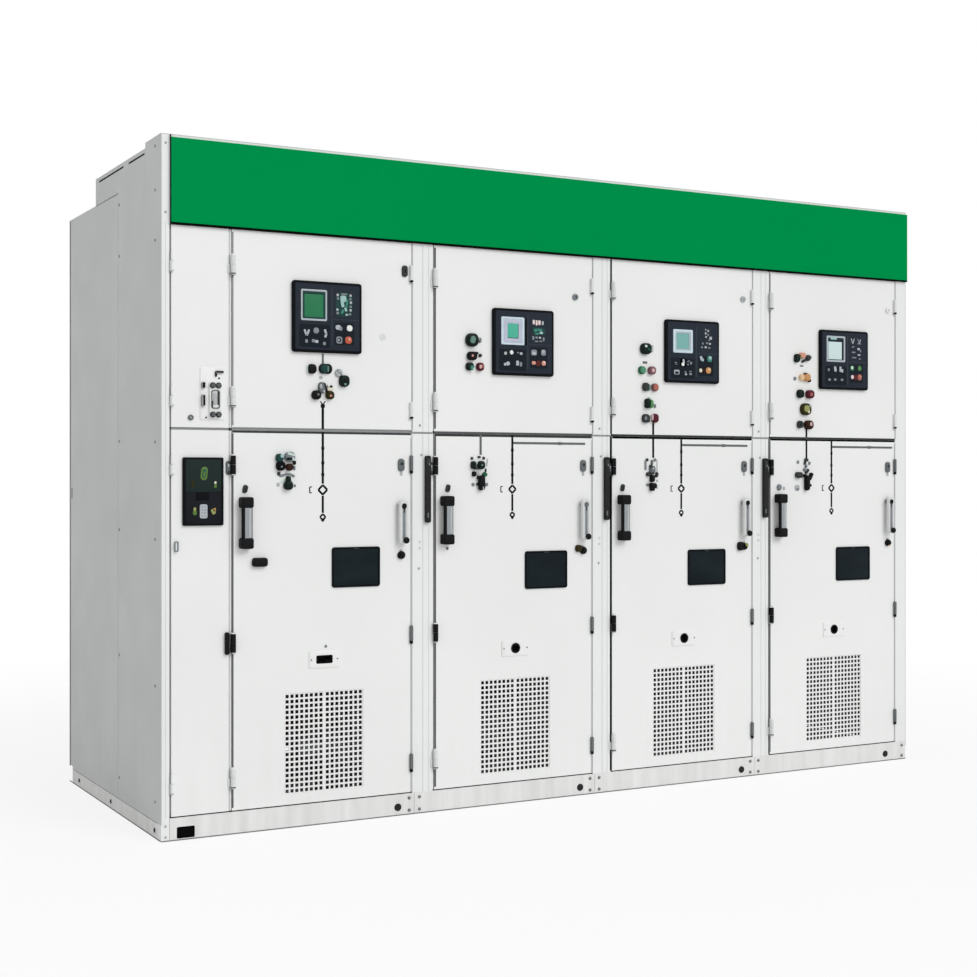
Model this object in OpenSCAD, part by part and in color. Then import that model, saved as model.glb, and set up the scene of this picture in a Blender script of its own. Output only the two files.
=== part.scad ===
// Air-insulated metal-clad switchgear: four withdrawable-breaker cubicles and a wiring compartment.
// Every module is drawn in a corner frame: x from the left end, y back from the door faces, z up.
// placed() then moves the origin to the middle of the footprint on the floor.

/* [Lineup] */
// Spacing of the cubicles along the lineup
cubicle_pitch = 750; // [735:5:850]
// Width of the narrow wiring compartment at the left end
end_comp_w = 240; // [215:5:320]
// Height at the front
height = 2300; // [2260:10:2400]
// Depth from the door faces to the back of the rear covers
depth = 1200; // [1180:10:1400]
// Width of the end post right of the last door
right_margin = 62; // [50:1:100]
// Sheet thickness of walls and covers
sheet = 2.5; // [2:0.5:3]

/* [Roof] */
// Depth of the tall front box
front_box_d = 177; // [150:1:220]
// Drop from the front box to the middle roof
mid_drop = 18; // [10:1:40]
// Drop from the middle roof to the rear roof
rear_drop = 98; // [60:1:130]
// Distance from the door faces to the rear roof step
rear_step_y = 806; // [790:1:850]

/* [Base] */
// Height of the front plinth, up to the doors
plinth_h = 75; // [65:1:90]
// Height of the side rails of the base
rail_h = 53; // [45:1:60]
// Depth of the folded base channels
channel_d = 40; // [36:1:45]
// Bore of the floor anchor holes
anchor_d = 14; // [10:1:18]
// Distance of the anchor holes from the front and the rear edge
anchor_inset = 25; // [20:1:32]

/* [Doors] */
// Width of a main door
door_w = 660; // [630:5:670]
// Height of the seam between lower and upper doors
seam_z = 1343; // [1320:1:1380]
// Depth of the folded door leaf
door_t = 25; // [20:1:30]
// Skin thickness of a door leaf
door_skin = 2; // [1.5:0.5:3]
// Gap round the doors
door_gap = 4; // [3:0.5:6]
// Width of the seam on the hinge side
hinge_seam = 6; // [6:0.5:8]
// Width of the left end post
end_post_w = 28; // [24:1:36]

/* [Header] */
// Height of the coloured fascia
header_h = 279; // [240:1:300]
// White rim above the fascia
header_rim = 11; // [6:1:20]
// How far the fascia stands proud of the doors
header_proud = 10; // [6:1:14]

/* [Hinges] */
// Outer radius of a main hinge barrel
hinge_r = 8; // [7:0.5:9]
// Radius of a main hinge pin
pin_r = 4; // [3:0.5:5]
// Length of a hinge barrel, both halves
hinge_len = 70; // [50:2:90]
// Outer radius of a narrow door's hinge barrel
small_hinge_r = 5; // [4:0.5:6]
// Radius of a narrow door's hinge pin
small_pin_r = 2.5; // [2:0.5:3]
// Radial clearance of the pins
pin_fit = 0.05; // [0.02:0.01:0.1]

/* [Instruments] */
// Width of a relay bezel
relay_w = 254; // [220:2:280]
// Height of a relay bezel
relay_h = 242; // [210:2:260]
// How far a relay stands proud of its door
relay_proud = 13; // [8:1:20]
// Depth of the relay case behind the door face
relay_case_d = 110; // [80:5:150]
// Radius of a signal lamp
lamp_r = 16; // [11:1:18]
// Radius of a knob
knob_r = 20; // [16:1:22]

/* [Lower door] */
// Width of the inspection window
window_w = 180; // [150:2:200]
// Height of the inspection window
window_h = 138; // [110:2:150]
// Width of a ventilation field, hole edge to hole edge
vent_w = 281; // [240:1:300]
// Height of a ventilation field, hole edge to hole edge
vent_h = 331; // [300:1:340]
// Width and height of one square ventilation hole
vent_hole = 11.5; // [9:0.5:13]
// Width of the bar in the middle of the field
vent_bar = 12; // [8:1:16]
// Length of the pull handle
grip_len = 172; // [140:2:200]
// How far the pull handle stands proud
grip_proud = 34; // [30:1:36]
// Length of the swing lever
lever_len = 150; // [110:2:170]
// Radius of the lever's pivot pin
lever_pin_r = 5; // [4:0.5:6]

/* [Breaker truck] */
// Racking travel from service to test position
truck_travel = 200; // [160:5:205]
// Spacing of the poles
pole_pitch = 200; // [170:5:210]
// Height of the breaker compartment floor
shelf_z = 457; // [430:1:480]
// Height of the upper contacts
upper_contact_z = 1060; // [1040:5:1090]
// Height of the lower contacts
lower_contact_z = 750; // [735:5:780]
// Radius of a contact arm
arm_r = 20; // [16:1:22]
// Distance from the door faces to the rear wall of the breaker compartment
spout_wall_y = 640; // [640:5:670]
// Depth of the instrument compartments
lv_depth = 400; // [360:5:440]

/* [Primary] */
// Height of a main busbar's section
bar_h = 80; // [60:5:100]
// Thickness of the copper bars
bar_t = 10; // [8:1:12]
// Height of the earth bar's section
earth_bar_h = 50; // [40:5:60]

/* [Hidden] */
$fn = 48;
cubicles = 4;

// Overall outline
total_w = end_comp_w + (cubicles - 1) * cubicle_pitch + door_w + right_margin;
mid_roof_z = height - mid_drop;
rear_roof_z = mid_roof_z - rear_drop;
header_z = height - header_rim - header_h;
cover_d = 52;
cover_y = depth - cover_d;
partition_t = 4;
partition_back = cover_y - 36;
front_tube_d = channel_d;
run_gap = 0.3;
seat = 0.2;
fold = 2;

// Doors: x of the hinged edge, heights of the two rows
function door_x(i) = end_comp_w + (i - 1) * cubicle_pitch;
function boundary_x(i) = door_x(i) + door_w + 12;
function inner_x0(i) = i == 1 ? end_comp_w : boundary_x(i - 1) + partition_t / 2;
function inner_x1(i) = i == cubicles ? total_w - sheet : boundary_x(i) - partition_t / 2;
foot_gap = 4;
seam_gap = 8;
lower_z0 = plinth_h + foot_gap;
lower_z1 = seam_z - seam_gap / 2;
upper_z0 = seam_z + seam_gap / 2;
upper_z1 = header_z - door_gap;
end_door_x = end_post_w + hinge_seam;
end_door_w = end_comp_w - 10 - end_door_x;
rail_y = door_t + 2;

// Hinges: the axis lies just inside the door edge and in front of its face
hinge_inset = 2;
hinge_clear = 1;
hinge_web_t = 4;
hinge_y = -(hinge_r + hinge_clear);
small_hinge_y = -(small_hinge_r + hinge_clear);
upper_hinges = [seam_z + 107, header_z - 122];
mid_z = (plinth_h + seam_z) / 2;
lower_hinges = [plinth_h + 113, mid_z - 74, seam_z - 118];

// Upper doors: height of each group of instruments, and the share of the free height below it
upper_group_h = [398, 242, 397, 403];
upper_share = [0.4052, 0.4965, 0.1889, 0.1515];
function upper_base(i) = seam_z + round((header_z - seam_z - upper_group_h[i - 1]) * upper_share[i - 1]);

// Places on the upper doors, measured from the door's left edge and from the foot of the group
relay_at = [[338, 277], [360, 121], [364, 276], [377, 282]];
upper_lamps_at = [
  [[283, 100], [331, 102], [402, 68], [303, 15], [349, 18]],
  [[154, 65], [143, 26], [185, 27]],
  [[138, 197], [183, 199], [160, 134], [195, 134], [160, 15], [196, 16]],
  [[160, 286], [205, 288], [185, 203], [160, 138], [209, 137], [160, 15], [203, 16]]];
upper_knobs_at = [[], [[154, 123]], [[151, 281], [164, 73]], [[185, 75]]];

// Upper locks, measured from the door's right edge and down from the header
upper_lock_at = [[26, 104], [74, 156], [45, 122], [38, 127]];

// Places on the lower doors, measured from the door's left edge and down from the seam
lower_lamps_at = [
  [[168, 93], [201, 92], [169, 127], [203, 127]],
  [[162, 114], [196, 114], [162, 149], [205, 152]],
  [[162, 97], [199, 95], [162, 151], [203, 151]],
  [[192, 103], [154, 150], [208, 155]]];
lower_knobs_at = [[198, 182], [189, 191], [182, 204], [191, 199]];
window_at = [[448, 468], [460, 498], [438, 508], [431, 513]];
vent_at = [door_w / 2 + 1, plinth_h + 209];
socket_x = door_w / 2;
socket_z = shelf_z + 106;
socket_w = 66;
socket_h = 34;
grip_at = [45, seam_z - 311];
grip_w = 42;
key_at = [46, seam_z - 198];
lever_at = [door_w - 38, seam_z - 259];
lever_w = 36;
lever_t = 11;
lever_boss = 12;
catch_at = [door_w - 40, seam_z - 431];
oval_at = [door_w - 40, seam_z - 116];
latch_zs = [plinth_h + 107, mid_z - 77, seam_z - 114];
upper_latch_zs = [seam_z + 68, header_z - 120];
plug_at = [door_w - 52, 30];
bolt_r = 6;
bolt_h = 4;
side_bolt_r = 5;
side_bolt_h = 3;
plug_r = 13;
side_plug_r = 8;
post_screw_r = 4;
strip_w = 19;
strip_h = 236;
strip_proud = 14;
strip_x = 28.5;
end_mid = end_door_x + end_door_w / 2;

// Breaker compartment
floor_y = rail_y + front_tube_d + run_gap;
shutter_hole = 104;
shutter_edge = 28;
truck_w = 2 * (pole_pitch + shutter_hole / 2 + shutter_edge);
truck_y = rail_y + 35 + truck_travel;
truck_back = spout_wall_y - 80;
housing_back = truck_back - 150;
pole_y = truck_back - 85;
cassette_z = shelf_z + 24;
cassette_h = 118;
wheel_r = 18;
arm_end = spout_wall_y + 5;
housing_z1 = upper_contact_z + 70;
shutter_t = 3;
shutter_y = spout_wall_y - 56;
shutter_foot = 160;
shutter_head = 155;
spout_r = 46;
spout_out_r = 62;
spout_y0 = spout_wall_y - 48;
spout_y1 = spout_wall_y + 105;
sleeve_r = arm_r + 14;
sleeve_y0 = arm_end - 23;
sleeve_y1 = spout_y1 - 45;
stem_r = 18;
link_w = 60;
split_z = seam_z - 223;
busbar_y = [480, 590, 690];
busbar_share = [0.258, 0.448, 0.639];
busbar_z = [for (share = busbar_share) seam_z + round((rear_roof_z - seam_z) * share)];
feeder_back = 980;
feeder_foot_z = 430;
earth_bar_z = 140;
earth_hole_r = 6.5;
earth_hole_step = 40;

// Instrument compartments
ct_shelf_z = lower_contact_z - 90;
barrier_z = upper_contact_z - 160;
panel_z0 = seam_z + 60;
panel_z1 = header_z - 60;

module placed() {
  translate([-total_w / 2, -depth / 2, 0]) children();
}

// A block given by its lowest and highest x, y and z
module slab(x, y, z) {
  translate([x[0], y[0], z[0]]) cube([x[1] - x[0], y[1] - y[0], z[1] - z[0]]);
}

// Turns a flat drawing to face the front, growing towards the viewer
module on_face(x, z, y = 0) {
  translate([x, y, z]) rotate([90, 0, 0]) children();
}

module rounded(w, h, r) {
  square([w - 2 * r, h], center = true);
  square([w, h - 2 * r], center = true);
  for (sx = [-1, 1])
    for (sz = [-1, 1])
      translate([sx * (w / 2 - r), sz * (h / 2 - r)]) circle(r);
}

// A folded channel along x, open to the rear
module channel(x0, x1, y0, z0, z1, d = channel_d, t = 3) {
  difference() {
    slab([x0, x1], [y0, y0 + d], [z0, z1]);
    slab([x0 - 1, x1 + 1], [y0 + t, y0 + d + 1], [z0 + t, z1 - t]);
  }
}

// Square tubes, upright and along x, open at their ends
module upright(x, y, z) {
  difference() {
    slab(x, y, z);
    slab([x[0] + fold, x[1] - fold], [y[0] + fold, y[1] - fold], [z[0] - 1, z[1] + 1]);
  }
}

module beam(x, y, z) {
  difference() {
    slab(x, y, z);
    slab([x[0] - 1, x[1] + 1], [y[0] + fold, y[1] - fold], [z[0] + fold, z[1] - fold]);
  }
}

// A folded pan with its face at y0 and its returns going back
module pan(x, y, z, t) {
  difference() {
    slab(x, y, z);
    slab([x[0] + t, x[1] - t], [y[0] + t, y[1] + 1], [z[0] + t, z[1] - t]);
  }
}

// The same pan with its face at the rear and its returns going forward
module rear_pan(x, y, z, t) {
  difference() {
    slab(x, y, z);
    slab([x[0] + t, x[1] - t], [y[0] - 1, y[1] - t], [z[0] + t, z[1] - t]);
  }
}

// Moving half of a hinge: barrel round the pin and the web to the door face
module door_knuckle(r, pin, z) {
  y = -(r + hinge_clear);
  difference() {
    union() {
      translate([hinge_inset, y, z + run_gap]) cylinder(r = r, h = hinge_len / 2 - run_gap);
      slab([hinge_inset, hinge_inset + r], [y, 1], [z + run_gap, z + hinge_len / 2]);
    }
    translate([hinge_inset, y, z - 1]) cylinder(r = pin + pin_fit, h = hinge_len);
  }
}

// Fixed half of a hinge: barrel, pin, and the web through the seam to the post behind
module post_knuckle(r, pin, z, web_back) {
  y = -(r + hinge_clear);
  translate([hinge_inset, y, z - hinge_len / 2]) cylinder(r = r, h = hinge_len / 2 - run_gap);
  translate([hinge_inset, y, z - hinge_len / 2]) cylinder(r = pin, h = hinge_len - 1);
  slab([-hinge_seam, -hinge_seam + hinge_web_t], [y, web_back], [z - hinge_len / 2, z - run_gap]);
  slab([-hinge_seam, hinge_inset], [y, y + 3], [z - hinge_len / 2, z - run_gap]);
}

module base_frame() color([0.86, 0.87, 0.86]) placed() {
  seams = [end_post_w + 0.5, boundary_x(1), boundary_x(2), boundary_x(3), total_w - sheet];
  slot_w = 61;
  slot_h = 38;
  lug_w = 60;
  anchors = [45, boundary_x(1) + 30, boundary_x(2) + 30, boundary_x(3) + 30, total_w - 45];
  // Front plinth channels, one for each cubicle, the first with a lifting slot
  for (i = [0:cubicles - 1])
    difference() {
      channel(seams[i] + 0.5, seams[i + 1] - 0.5, 0, 0, plinth_h);
      if (i == 0)
        on_face(83, 25, 5) linear_extrude(10) rounded(slot_w, slot_h, 5);
      for (x = anchors)
        translate([x, anchor_inset, -1]) cylinder(d = anchor_d, h = 5);
    }
  // Side rails and rear channel
  slab([0, channel_d], [channel_d + 0.5, cover_y], [0, rail_h]);
  slab([total_w - channel_d, total_w], [channel_d + 0.5, cover_y], [0, rail_h]);
  channel(channel_d + seat, total_w - channel_d - seat, cover_y - channel_d, 0, rail_h);
  // Floor lugs that carry the rear anchor holes
  for (x = anchors)
    difference() {
      slab([x - lug_w / 2, x + lug_w / 2], [cover_y + seat, depth], [0, 4]);
      translate([x, depth - anchor_inset, -1]) cylinder(d = anchor_d, h = 6);
    }
  // Floor plates with the cable cut-outs, each in four strips round its cut-out
  for (i = [1:cubicles]) {
    x0 = i == 1 ? end_comp_w - partition_t : boundary_x(i - 1) + seat;
    x1 = i == cubicles ? total_w - channel_d - seat : boundary_x(i) - seat;
    cut_x = [door_x(i) + door_w / 2 - 200, door_x(i) + door_w / 2 + 200];
    cut_y = [rear_step_y - 46, rear_step_y + 194];
    z = [rail_h - 3, rail_h - seat];
    slab([x0, x1], [channel_d + 0.5, cut_y[0]], z);
    slab([x0, x1], [cut_y[1], cover_y - channel_d - seat], z);
    slab([x0, cut_x[0]], [cut_y[0] + seat, cut_y[1] - seat], z);
    slab([cut_x[1], x1], [cut_y[0] + seat, cut_y[1] - seat], z);
  }
}

module end_wall_sheets() {
  slab([0, sheet], [0, 505], [rail_h + 2, rear_roof_z - seat]);
  slab([0, sheet], [507, cover_y - 1], [rail_h + 2, rear_roof_z - sheet - seat]);
  // Side of the gas duct, with its two slots under the roof edge
  difference() {
    slab([0, sheet], [front_box_d + 1, rear_step_y], [rear_roof_z, mid_roof_z - sheet - seat]);
    slab([-1, sheet + 1], [front_box_d + 8, 375], [mid_roof_z - 20, mid_roof_z - 13]);
    slab([-1, sheet + 1], [440, rear_step_y - 45], [mid_roof_z - 20, mid_roof_z - 13]);
  }
  slab([0, sheet], [0, front_box_d], [rear_roof_z, height - sheet - seat]);
}

module end_walls() color([0.68, 0.69, 0.69]) placed() {
  end_wall_sheets();
  translate([total_w - sheet, 0, 0]) end_wall_sheets();
}

// Wall between two compartments, in three sheets that follow the stepped roof
module partition(x, front, busbar_windows) {
  xs = [x - partition_t / 2, x + partition_t / 2];
  margin = 12;
  difference() {
    slab(xs, [front, partition_back], [rail_h, rear_roof_z - sheet - seat]);
    slab([x - 5, x + 5], [partition_back - bar_t - seat, partition_back + 1],
      [earth_bar_z - seat, earth_bar_z + earth_bar_h + seat]);
    if (busbar_windows)
      for (p = [0:2])
        slab([x - 5, x + 5], [busbar_y[p] - margin, busbar_y[p] + bar_t + margin],
          [busbar_z[p] - margin, busbar_z[p] + bar_h + margin]);
  }
  slab(xs, [front, front_box_d - sheet - seat], [rear_roof_z - sheet, height - sheet - seat]);
  slab(xs, [front_box_d, rear_step_y - sheet - seat], [rear_roof_z - sheet, mid_roof_z - sheet - seat]);
}

// Rear wall of a breaker compartment, in strips round its six spout windows
module spout_wall(cx, xs) {
  half = spout_out_r + run_gap;
  y = [spout_wall_y, spout_wall_y + 2];
  z = [shelf_z + seat, seam_z - 2 - seat];
  left = [xs[0], cx - pole_pitch + half, cx + half, cx + pole_pitch + half];
  right = [cx - pole_pitch - half, cx - half, cx + pole_pitch - half, xs[1]];
  for (k = [0:3])
    slab([left[k], right[k]], y, z);
  low = [z[0], lower_contact_z + half, upper_contact_z + half];
  high = [lower_contact_z - half, upper_contact_z - half, z[1]];
  for (p = [-1:1])
    for (k = [0:2])
      slab([cx + p * pole_pitch - half + seat, cx + p * pole_pitch + half - seat], y, [low[k], high[k]]);
}

module inner_walls() color([0.75, 0.76, 0.77]) placed() {
  partition(end_comp_w - partition_t / 2, rail_y + front_tube_d, false);
  for (k = [1:cubicles - 1])
    partition(boundary_x(k), front_tube_d, true);
  for (i = [1:cubicles]) {
    xs = [inner_x0(i) + seat, inner_x1(i) - seat];
    // Instrument compartment: floor and rear wall
    slab(xs, [rail_y + front_tube_d, spout_wall_y + 2], [seam_z - 2, seam_z]);
    slab(xs, [lv_depth, lv_depth + 2], [seam_z + seat, rear_roof_z - sheet - seat]);
    // Breaker compartment: floor and rear wall
    slab(xs, [floor_y, spout_wall_y + 2], [shelf_z - 2, shelf_z]);
    spout_wall(door_x(i) + door_w / 2, xs);
    // Barrier between busbars and cables: floor and rear wall
    slab(xs, [spout_wall_y + 2 + seat, rear_step_y - sheet - seat], [barrier_z, barrier_z + 2]);
    slab(xs, [rear_step_y - sheet, rear_step_y], [barrier_z, rear_roof_z - sheet - seat]);
    // Shelf that carries the current transformers
    slab(xs, [spout_wall_y + 2 + seat, feeder_back - 60], [ct_shelf_z - 2, ct_shelf_z]);
  }
}

module frame_posts() color([0.9, 0.91, 0.91]) placed() {
  // Left end post with its foot, and the post behind the seam of the narrow doors
  upright([sheet, end_post_w], [0, front_tube_d], [rail_h + 2 + seat, header_z - seat]);
  slab([0, end_post_w], [0, front_tube_d], [0, rail_h + 2]);
  upright([end_comp_w - 20, end_comp_w + 12], [rail_y, rail_y + front_tube_d],
    [plinth_h, header_z - seat]);
  for (i = [1:cubicles - 1])
    upright([door_x(i) + door_w + door_gap, door_x(i + 1) - hinge_seam], [0, front_tube_d],
      [plinth_h, header_z - seat]);
  upright([door_x(cubicles) + door_w + door_gap, total_w - sheet], [0, front_tube_d],
    [plinth_h, header_z - seat]);
  // Header beam behind the fascia
  beam([sheet, total_w - sheet], [0, front_tube_d], [header_z, height - sheet - seat]);
  // Cross rails behind the seam
  rail_z = [seam_z - 18, seam_z + 18];
  rail_back = rail_y + front_tube_d - 28;
  slab([end_post_w + seat, end_comp_w - 20 - seat], [rail_y, rail_back], rail_z);
  slab([end_comp_w + 12 + seat, door_x(1) + door_w + door_gap - seat], [rail_y, rail_back], rail_z);
  for (i = [2:cubicles])
    slab([door_x(i) - hinge_seam + seat, door_x(i) + door_w + door_gap - seat], [rail_y, rail_back], rail_z);
  // Rear uprights that the rear covers screw to
  for (x = [sheet + 20, boundary_x(1), boundary_x(2), boundary_x(3), total_w - sheet - 20])
    upright([x - 20, x + 20], [partition_back, cover_y], [rail_h, rear_roof_z - sheet - seat]);
}

// Coloured fascia sheet on its battens
module header_panel() color([0.01, 0.58, 0.32]) placed() {
  x = [end_post_w + 3, total_w];
  z = [header_z, header_z + header_h];
  batten = [-header_proud + 3 + seat, 0];
  slab(x, [-header_proud, -header_proud + 3], z);
  for (low = [z[0], z[1] - 15])
    slab(x, batten, [low, low + 15]);
  for (left = [x[0], x[1] - 15])
    slab([left, left + 15], batten, [z[0] + 15 + seat, z[1] - 15 - seat]);
}

module roof_covers() color([0.8, 0.81, 0.81]) placed() {
  edges = [0, boundary_x(1), boundary_x(2), boundary_x(3), total_w];
  for (i = [0:cubicles - 1]) {
    xs = [edges[i] + (i == 0 ? 0 : 0.5), edges[i + 1] - (i == cubicles - 1 ? 0 : 0.5)];
    inner = [max(xs[0], sheet + seat), min(xs[1], total_w - sheet - seat)];
    slab(xs, [0, front_box_d], [height - sheet, height]);
    slab(inner, [front_box_d - sheet, front_box_d - seat], [mid_roof_z + seat, height - sheet - seat]);
    slab(xs, [front_box_d + seat, rear_step_y], [mid_roof_z - sheet, mid_roof_z]);
    slab(inner, [rear_step_y - sheet, rear_step_y], [rear_roof_z - sheet, mid_roof_z - sheet - seat]);
    slab(xs, [rear_step_y + seat, depth], [rear_roof_z - sheet, rear_roof_z]);
    // Pressure-relief flaps
    for (y = [[front_box_d + 60, 500], [530, rear_step_y - 50]])
      slab([inner[0] + 50, inner[1] - 50], y, [mid_roof_z + seat, mid_roof_z + 4]);
    slab([inner[0] + 50, inner[1] - 50], [rear_step_y + 70, depth - 100],
      [rear_roof_z + seat, rear_roof_z + 4]);
  }
}

module rear_covers() color([0.8, 0.81, 0.81]) placed() {
  edges = [0, boundary_x(1), boundary_x(2), boundary_x(3), total_w];
  for (i = [0:cubicles - 1])
    for (z = [[rail_h + 11, split_z], [split_z + 3, rear_roof_z - sheet - seat]]) {
      xs = [edges[i] + 1, edges[i + 1] - 1];
      rear_pan(xs, [cover_y, depth - 6], z, sheet);
      // Raised middle field
      slab([xs[0] + 45, xs[1] - 45], [depth - 6, depth], [z[0] + 60, z[1] - 60]);
    }
}

// Contact sleeve in a spout, with the stem that passes the spout's rear end
module contact_sleeve(x, z) {
  difference() {
    union() {
      on_face(x, z, sleeve_y1) cylinder(r = sleeve_r, h = sleeve_y1 - sleeve_y0);
      on_face(x, z, spout_y1) cylinder(r = stem_r, h = spout_y1 - sleeve_y1 + 5);
    }
    on_face(x, z, sleeve_y1 - 28) cylinder(r = arm_r + 1, h = sleeve_y1);
  }
}

module busbars() color([0.78, 0.45, 0.25]) placed() {
  for (p = [0:2])
    slab([end_comp_w + 30, total_w - 60], [busbar_y[p], busbar_y[p] + bar_t],
      [busbar_z[p], busbar_z[p] + bar_h]);
  for (i = [1:cubicles])
    for (p = [0:2]) {
      x = door_x(i) + door_w / 2 + (p - 1) * pole_pitch;
      xs = [x - link_w / 2, x + link_w / 2];
      contact_sleeve(x, upper_contact_z);
      slab(xs, [spout_y1, spout_y1 + bar_t], [upper_contact_z - 30, busbar_z[p] - 10]);
      slab(xs, [busbar_y[p] + bar_t, spout_y1 + bar_t], [busbar_z[p] - 10, busbar_z[p]]);
      slab(xs, [busbar_y[p] + bar_t, busbar_y[p] + 2 * bar_t], [busbar_z[p], busbar_z[p] + bar_h]);
    }
}

module feeder_bars() color([0.78, 0.45, 0.25]) placed() {
  for (i = [1:cubicles])
    for (p = [-1:1]) {
      x = door_x(i) + door_w / 2 + p * pole_pitch;
      xs = [x - link_w / 2, x + link_w / 2];
      contact_sleeve(x, lower_contact_z);
      slab(xs, [spout_y1, feeder_back], [lower_contact_z - bar_t / 2, lower_contact_z + bar_t / 2]);
      slab(xs, [feeder_back - bar_t, feeder_back], [feeder_foot_z, lower_contact_z]);
    }
}

module spout(x, z) {
  on_face(x, z, spout_y1)
    difference() {
      union() {
        cylinder(r = spout_out_r, h = spout_y1 - spout_y0);
        // Square flange against the wall
        translate([0, 0, spout_y1 - spout_wall_y])
          linear_extrude(8) rounded(2 * spout_out_r + 16, 2 * spout_out_r + 16, 10);
      }
      translate([0, 0, 10]) cylinder(r = spout_r, h = 200);
      translate([0, 0, -1]) cylinder(r = stem_r + 0.1, h = 20);
    }
}

// Ribbed post insulator along y, standing on a wall
module post_insulator(x, z, y0, y1) {
  len = y1 - y0;
  ribs = max(2, floor(len / 30));
  step = len / ribs;
  profile = [for (k = [0:ribs - 1]) each [
    [20, k * step], [20, k * step + step * 0.3], [28, k * step + step * 0.45],
    [28, k * step + step * 0.6], [20, k * step + step * 0.75]]];
  on_face(x, z, y1) rotate_extrude() polygon(concat([[0, 0]], profile, [[20, len], [0, len]]));
}

module insulators() color([0.45, 0.2, 0.14]) placed() {
  for (i = [1:cubicles]) {
    for (p = [-1:1])
      for (z = [lower_contact_z, upper_contact_z])
        spout(door_x(i) + door_w / 2 + p * pole_pitch, z);
    // Posts between the rear barrier and each main busbar
    for (p = [0:2])
      post_insulator(min(inner_x1(i) - 50, door_x(i) + door_w - 50), busbar_z[p] + bar_h / 2,
        busbar_y[p] + bar_t, rear_step_y - sheet);
  }
}

module current_transformers() color([0.5, 0.23, 0.16]) placed() {
  ct_w = 150;
  ct_h = 200;
  ct_d = 110;
  ct_y = spout_y1 + 40;
  for (i = [1:cubicles])
    for (p = [-1:1]) {
      x = door_x(i) + door_w / 2 + p * pole_pitch;
      difference() {
        on_face(x, ct_shelf_z + ct_h / 2, ct_y + ct_d) linear_extrude(ct_d) rounded(ct_w, ct_h, 24);
        slab([x - link_w / 2 - 6, x + link_w / 2 + 6], [ct_y - 1, ct_y + ct_d + 1],
          [lower_contact_z - bar_t / 2 - run_gap, lower_contact_z + bar_t / 2 + 12]);
      }
    }
}

module earth_bar() color([0.78, 0.45, 0.25]) placed() {
  difference() {
    slab([12, total_w - 12], [partition_back - bar_t, partition_back],
      [earth_bar_z, earth_bar_z + earth_bar_h]);
    for (x = [60, 60 + earth_hole_step, total_w - 60 - earth_hole_step, total_w - 60])
      on_face(x, earth_bar_z + earth_bar_h / 2, partition_back + 1) cylinder(r = earth_hole_r, h = bar_t + 2);
  }
}

module truck_rails() color([0.72, 0.73, 0.75]) placed() {
  rail_top = cassette_z - wheel_r;
  for (i = [1:cubicles])
    for (s = [-1, 1]) {
      x = door_x(i) + door_w / 2 + s * (truck_w / 2 + 10);
      // Running strip, and the lip outside it
      slab([x - 12, x + 12], [floor_y, truck_back + 10], [shelf_z, rail_top]);
      outer = s > 0 ? [x + 12 + seat, x + 15] : [x - 15, x - 12 - seat];
      slab(outer, [floor_y, truck_back + 10], [shelf_z, rail_top + 30]);
      // Shutter guides: strips in front of and behind the shutter plate
      guide = s > 0 ? [x - 24, x + 2] : [x - 2, x + 24];
      for (y = [shutter_y - 3.5, shutter_y + shutter_t + 0.5])
        slab(guide, [y, y + 3], [shelf_z, upper_contact_z + 200]);
      side = s > 0 ? [x + 2 + seat, x + 5] : [x - 5, x - 2 - seat];
      slab(side, [shutter_y - 3.5, spout_wall_y - seat], [shelf_z, upper_contact_z + 200]);
    }
}

module hinge_pins() color([0.72, 0.73, 0.74]) placed() {
  for (i = [1:cubicles]) {
    back = i == 1 ? rail_y : rail_y + 8;
    for (z = concat(lower_hinges, upper_hinges))
      translate([door_x(i), 0, 0]) post_knuckle(hinge_r, pin_r, z, back);
  }
  for (z = [lower_hinges[0], lower_hinges[2], upper_hinges[0], upper_hinges[1]])
    translate([end_door_x, 0, 0]) post_knuckle(small_hinge_r, small_pin_r, z, rail_y + 8);
}

module pillar_strips() color([0.06, 0.06, 0.07]) placed() {
  for (i = [2:cubicles])
    on_face(door_x(i) - strip_x, seam_z - 201) linear_extrude(strip_proud) rounded(strip_w, strip_h, 6);
}

// Wiring trunking along x, with its row of wire slots
module trunking(x0, x1, y, z) {
  w = 40;
  d = 50;
  slot_w = 12;
  slot_step = 40;
  difference() {
    slab([x0, x1], [y - d, y], [z, z + w]);
    for (x = [x0 + 20:slot_step:x1 - 20])
      slab([x, x + slot_w], [y - d + 4, y - 10], [z - 1, z + w + 1]);
  }
}

module terminal_rows() color([0.62, 0.64, 0.66]) placed() {
  block_pitch = 26;
  for (i = [1:cubicles]) {
    x0 = door_x(i) + 40;
    x1 = door_x(i) + door_w - 40;
    back = lv_depth - 10;
    count = floor((x1 - x0 - 80) / block_pitch);
    // Mounting plate on its standoffs
    slab([x0, x1], [back, back + 3], [panel_z0, panel_z1]);
    for (x = [x0 + 30, x1 - 50])
      slab([x, x + 20], [back + 3 + seat, lv_depth], [panel_z0 + 20, panel_z1 - 20]);
    trunking(x0 + 10, x1 - 10, back - seat, panel_z0 + 15);
    trunking(x0 + 10, x1 - 10, back - seat, panel_z1 - 55);
    // Rails with their rows of terminal blocks
    for (z = [panel_z0 + 120, panel_z0 + 300]) {
      slab([x0 + 20, x1 - 20], [back - 8, back - seat], [z, z + 35]);
      for (k = [0:count - 1])
        slab([x0 + 40 + k * block_pitch, x0 + 38 + (k + 1) * block_pitch], [back - 48, back - 8],
          [z - 8, z + 43]);
    }
  }
}

module bolt(x, z, y = 0, r = bolt_r) {
  on_face(x, z, y) cylinder(r = r, h = bolt_h);
}

module side_bolt(y, z, left, r = side_bolt_r) {
  translate([left ? 0 : total_w, y, z]) rotate([0, left ? -90 : 90, 0]) cylinder(r = r, h = side_bolt_h);
}

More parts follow.
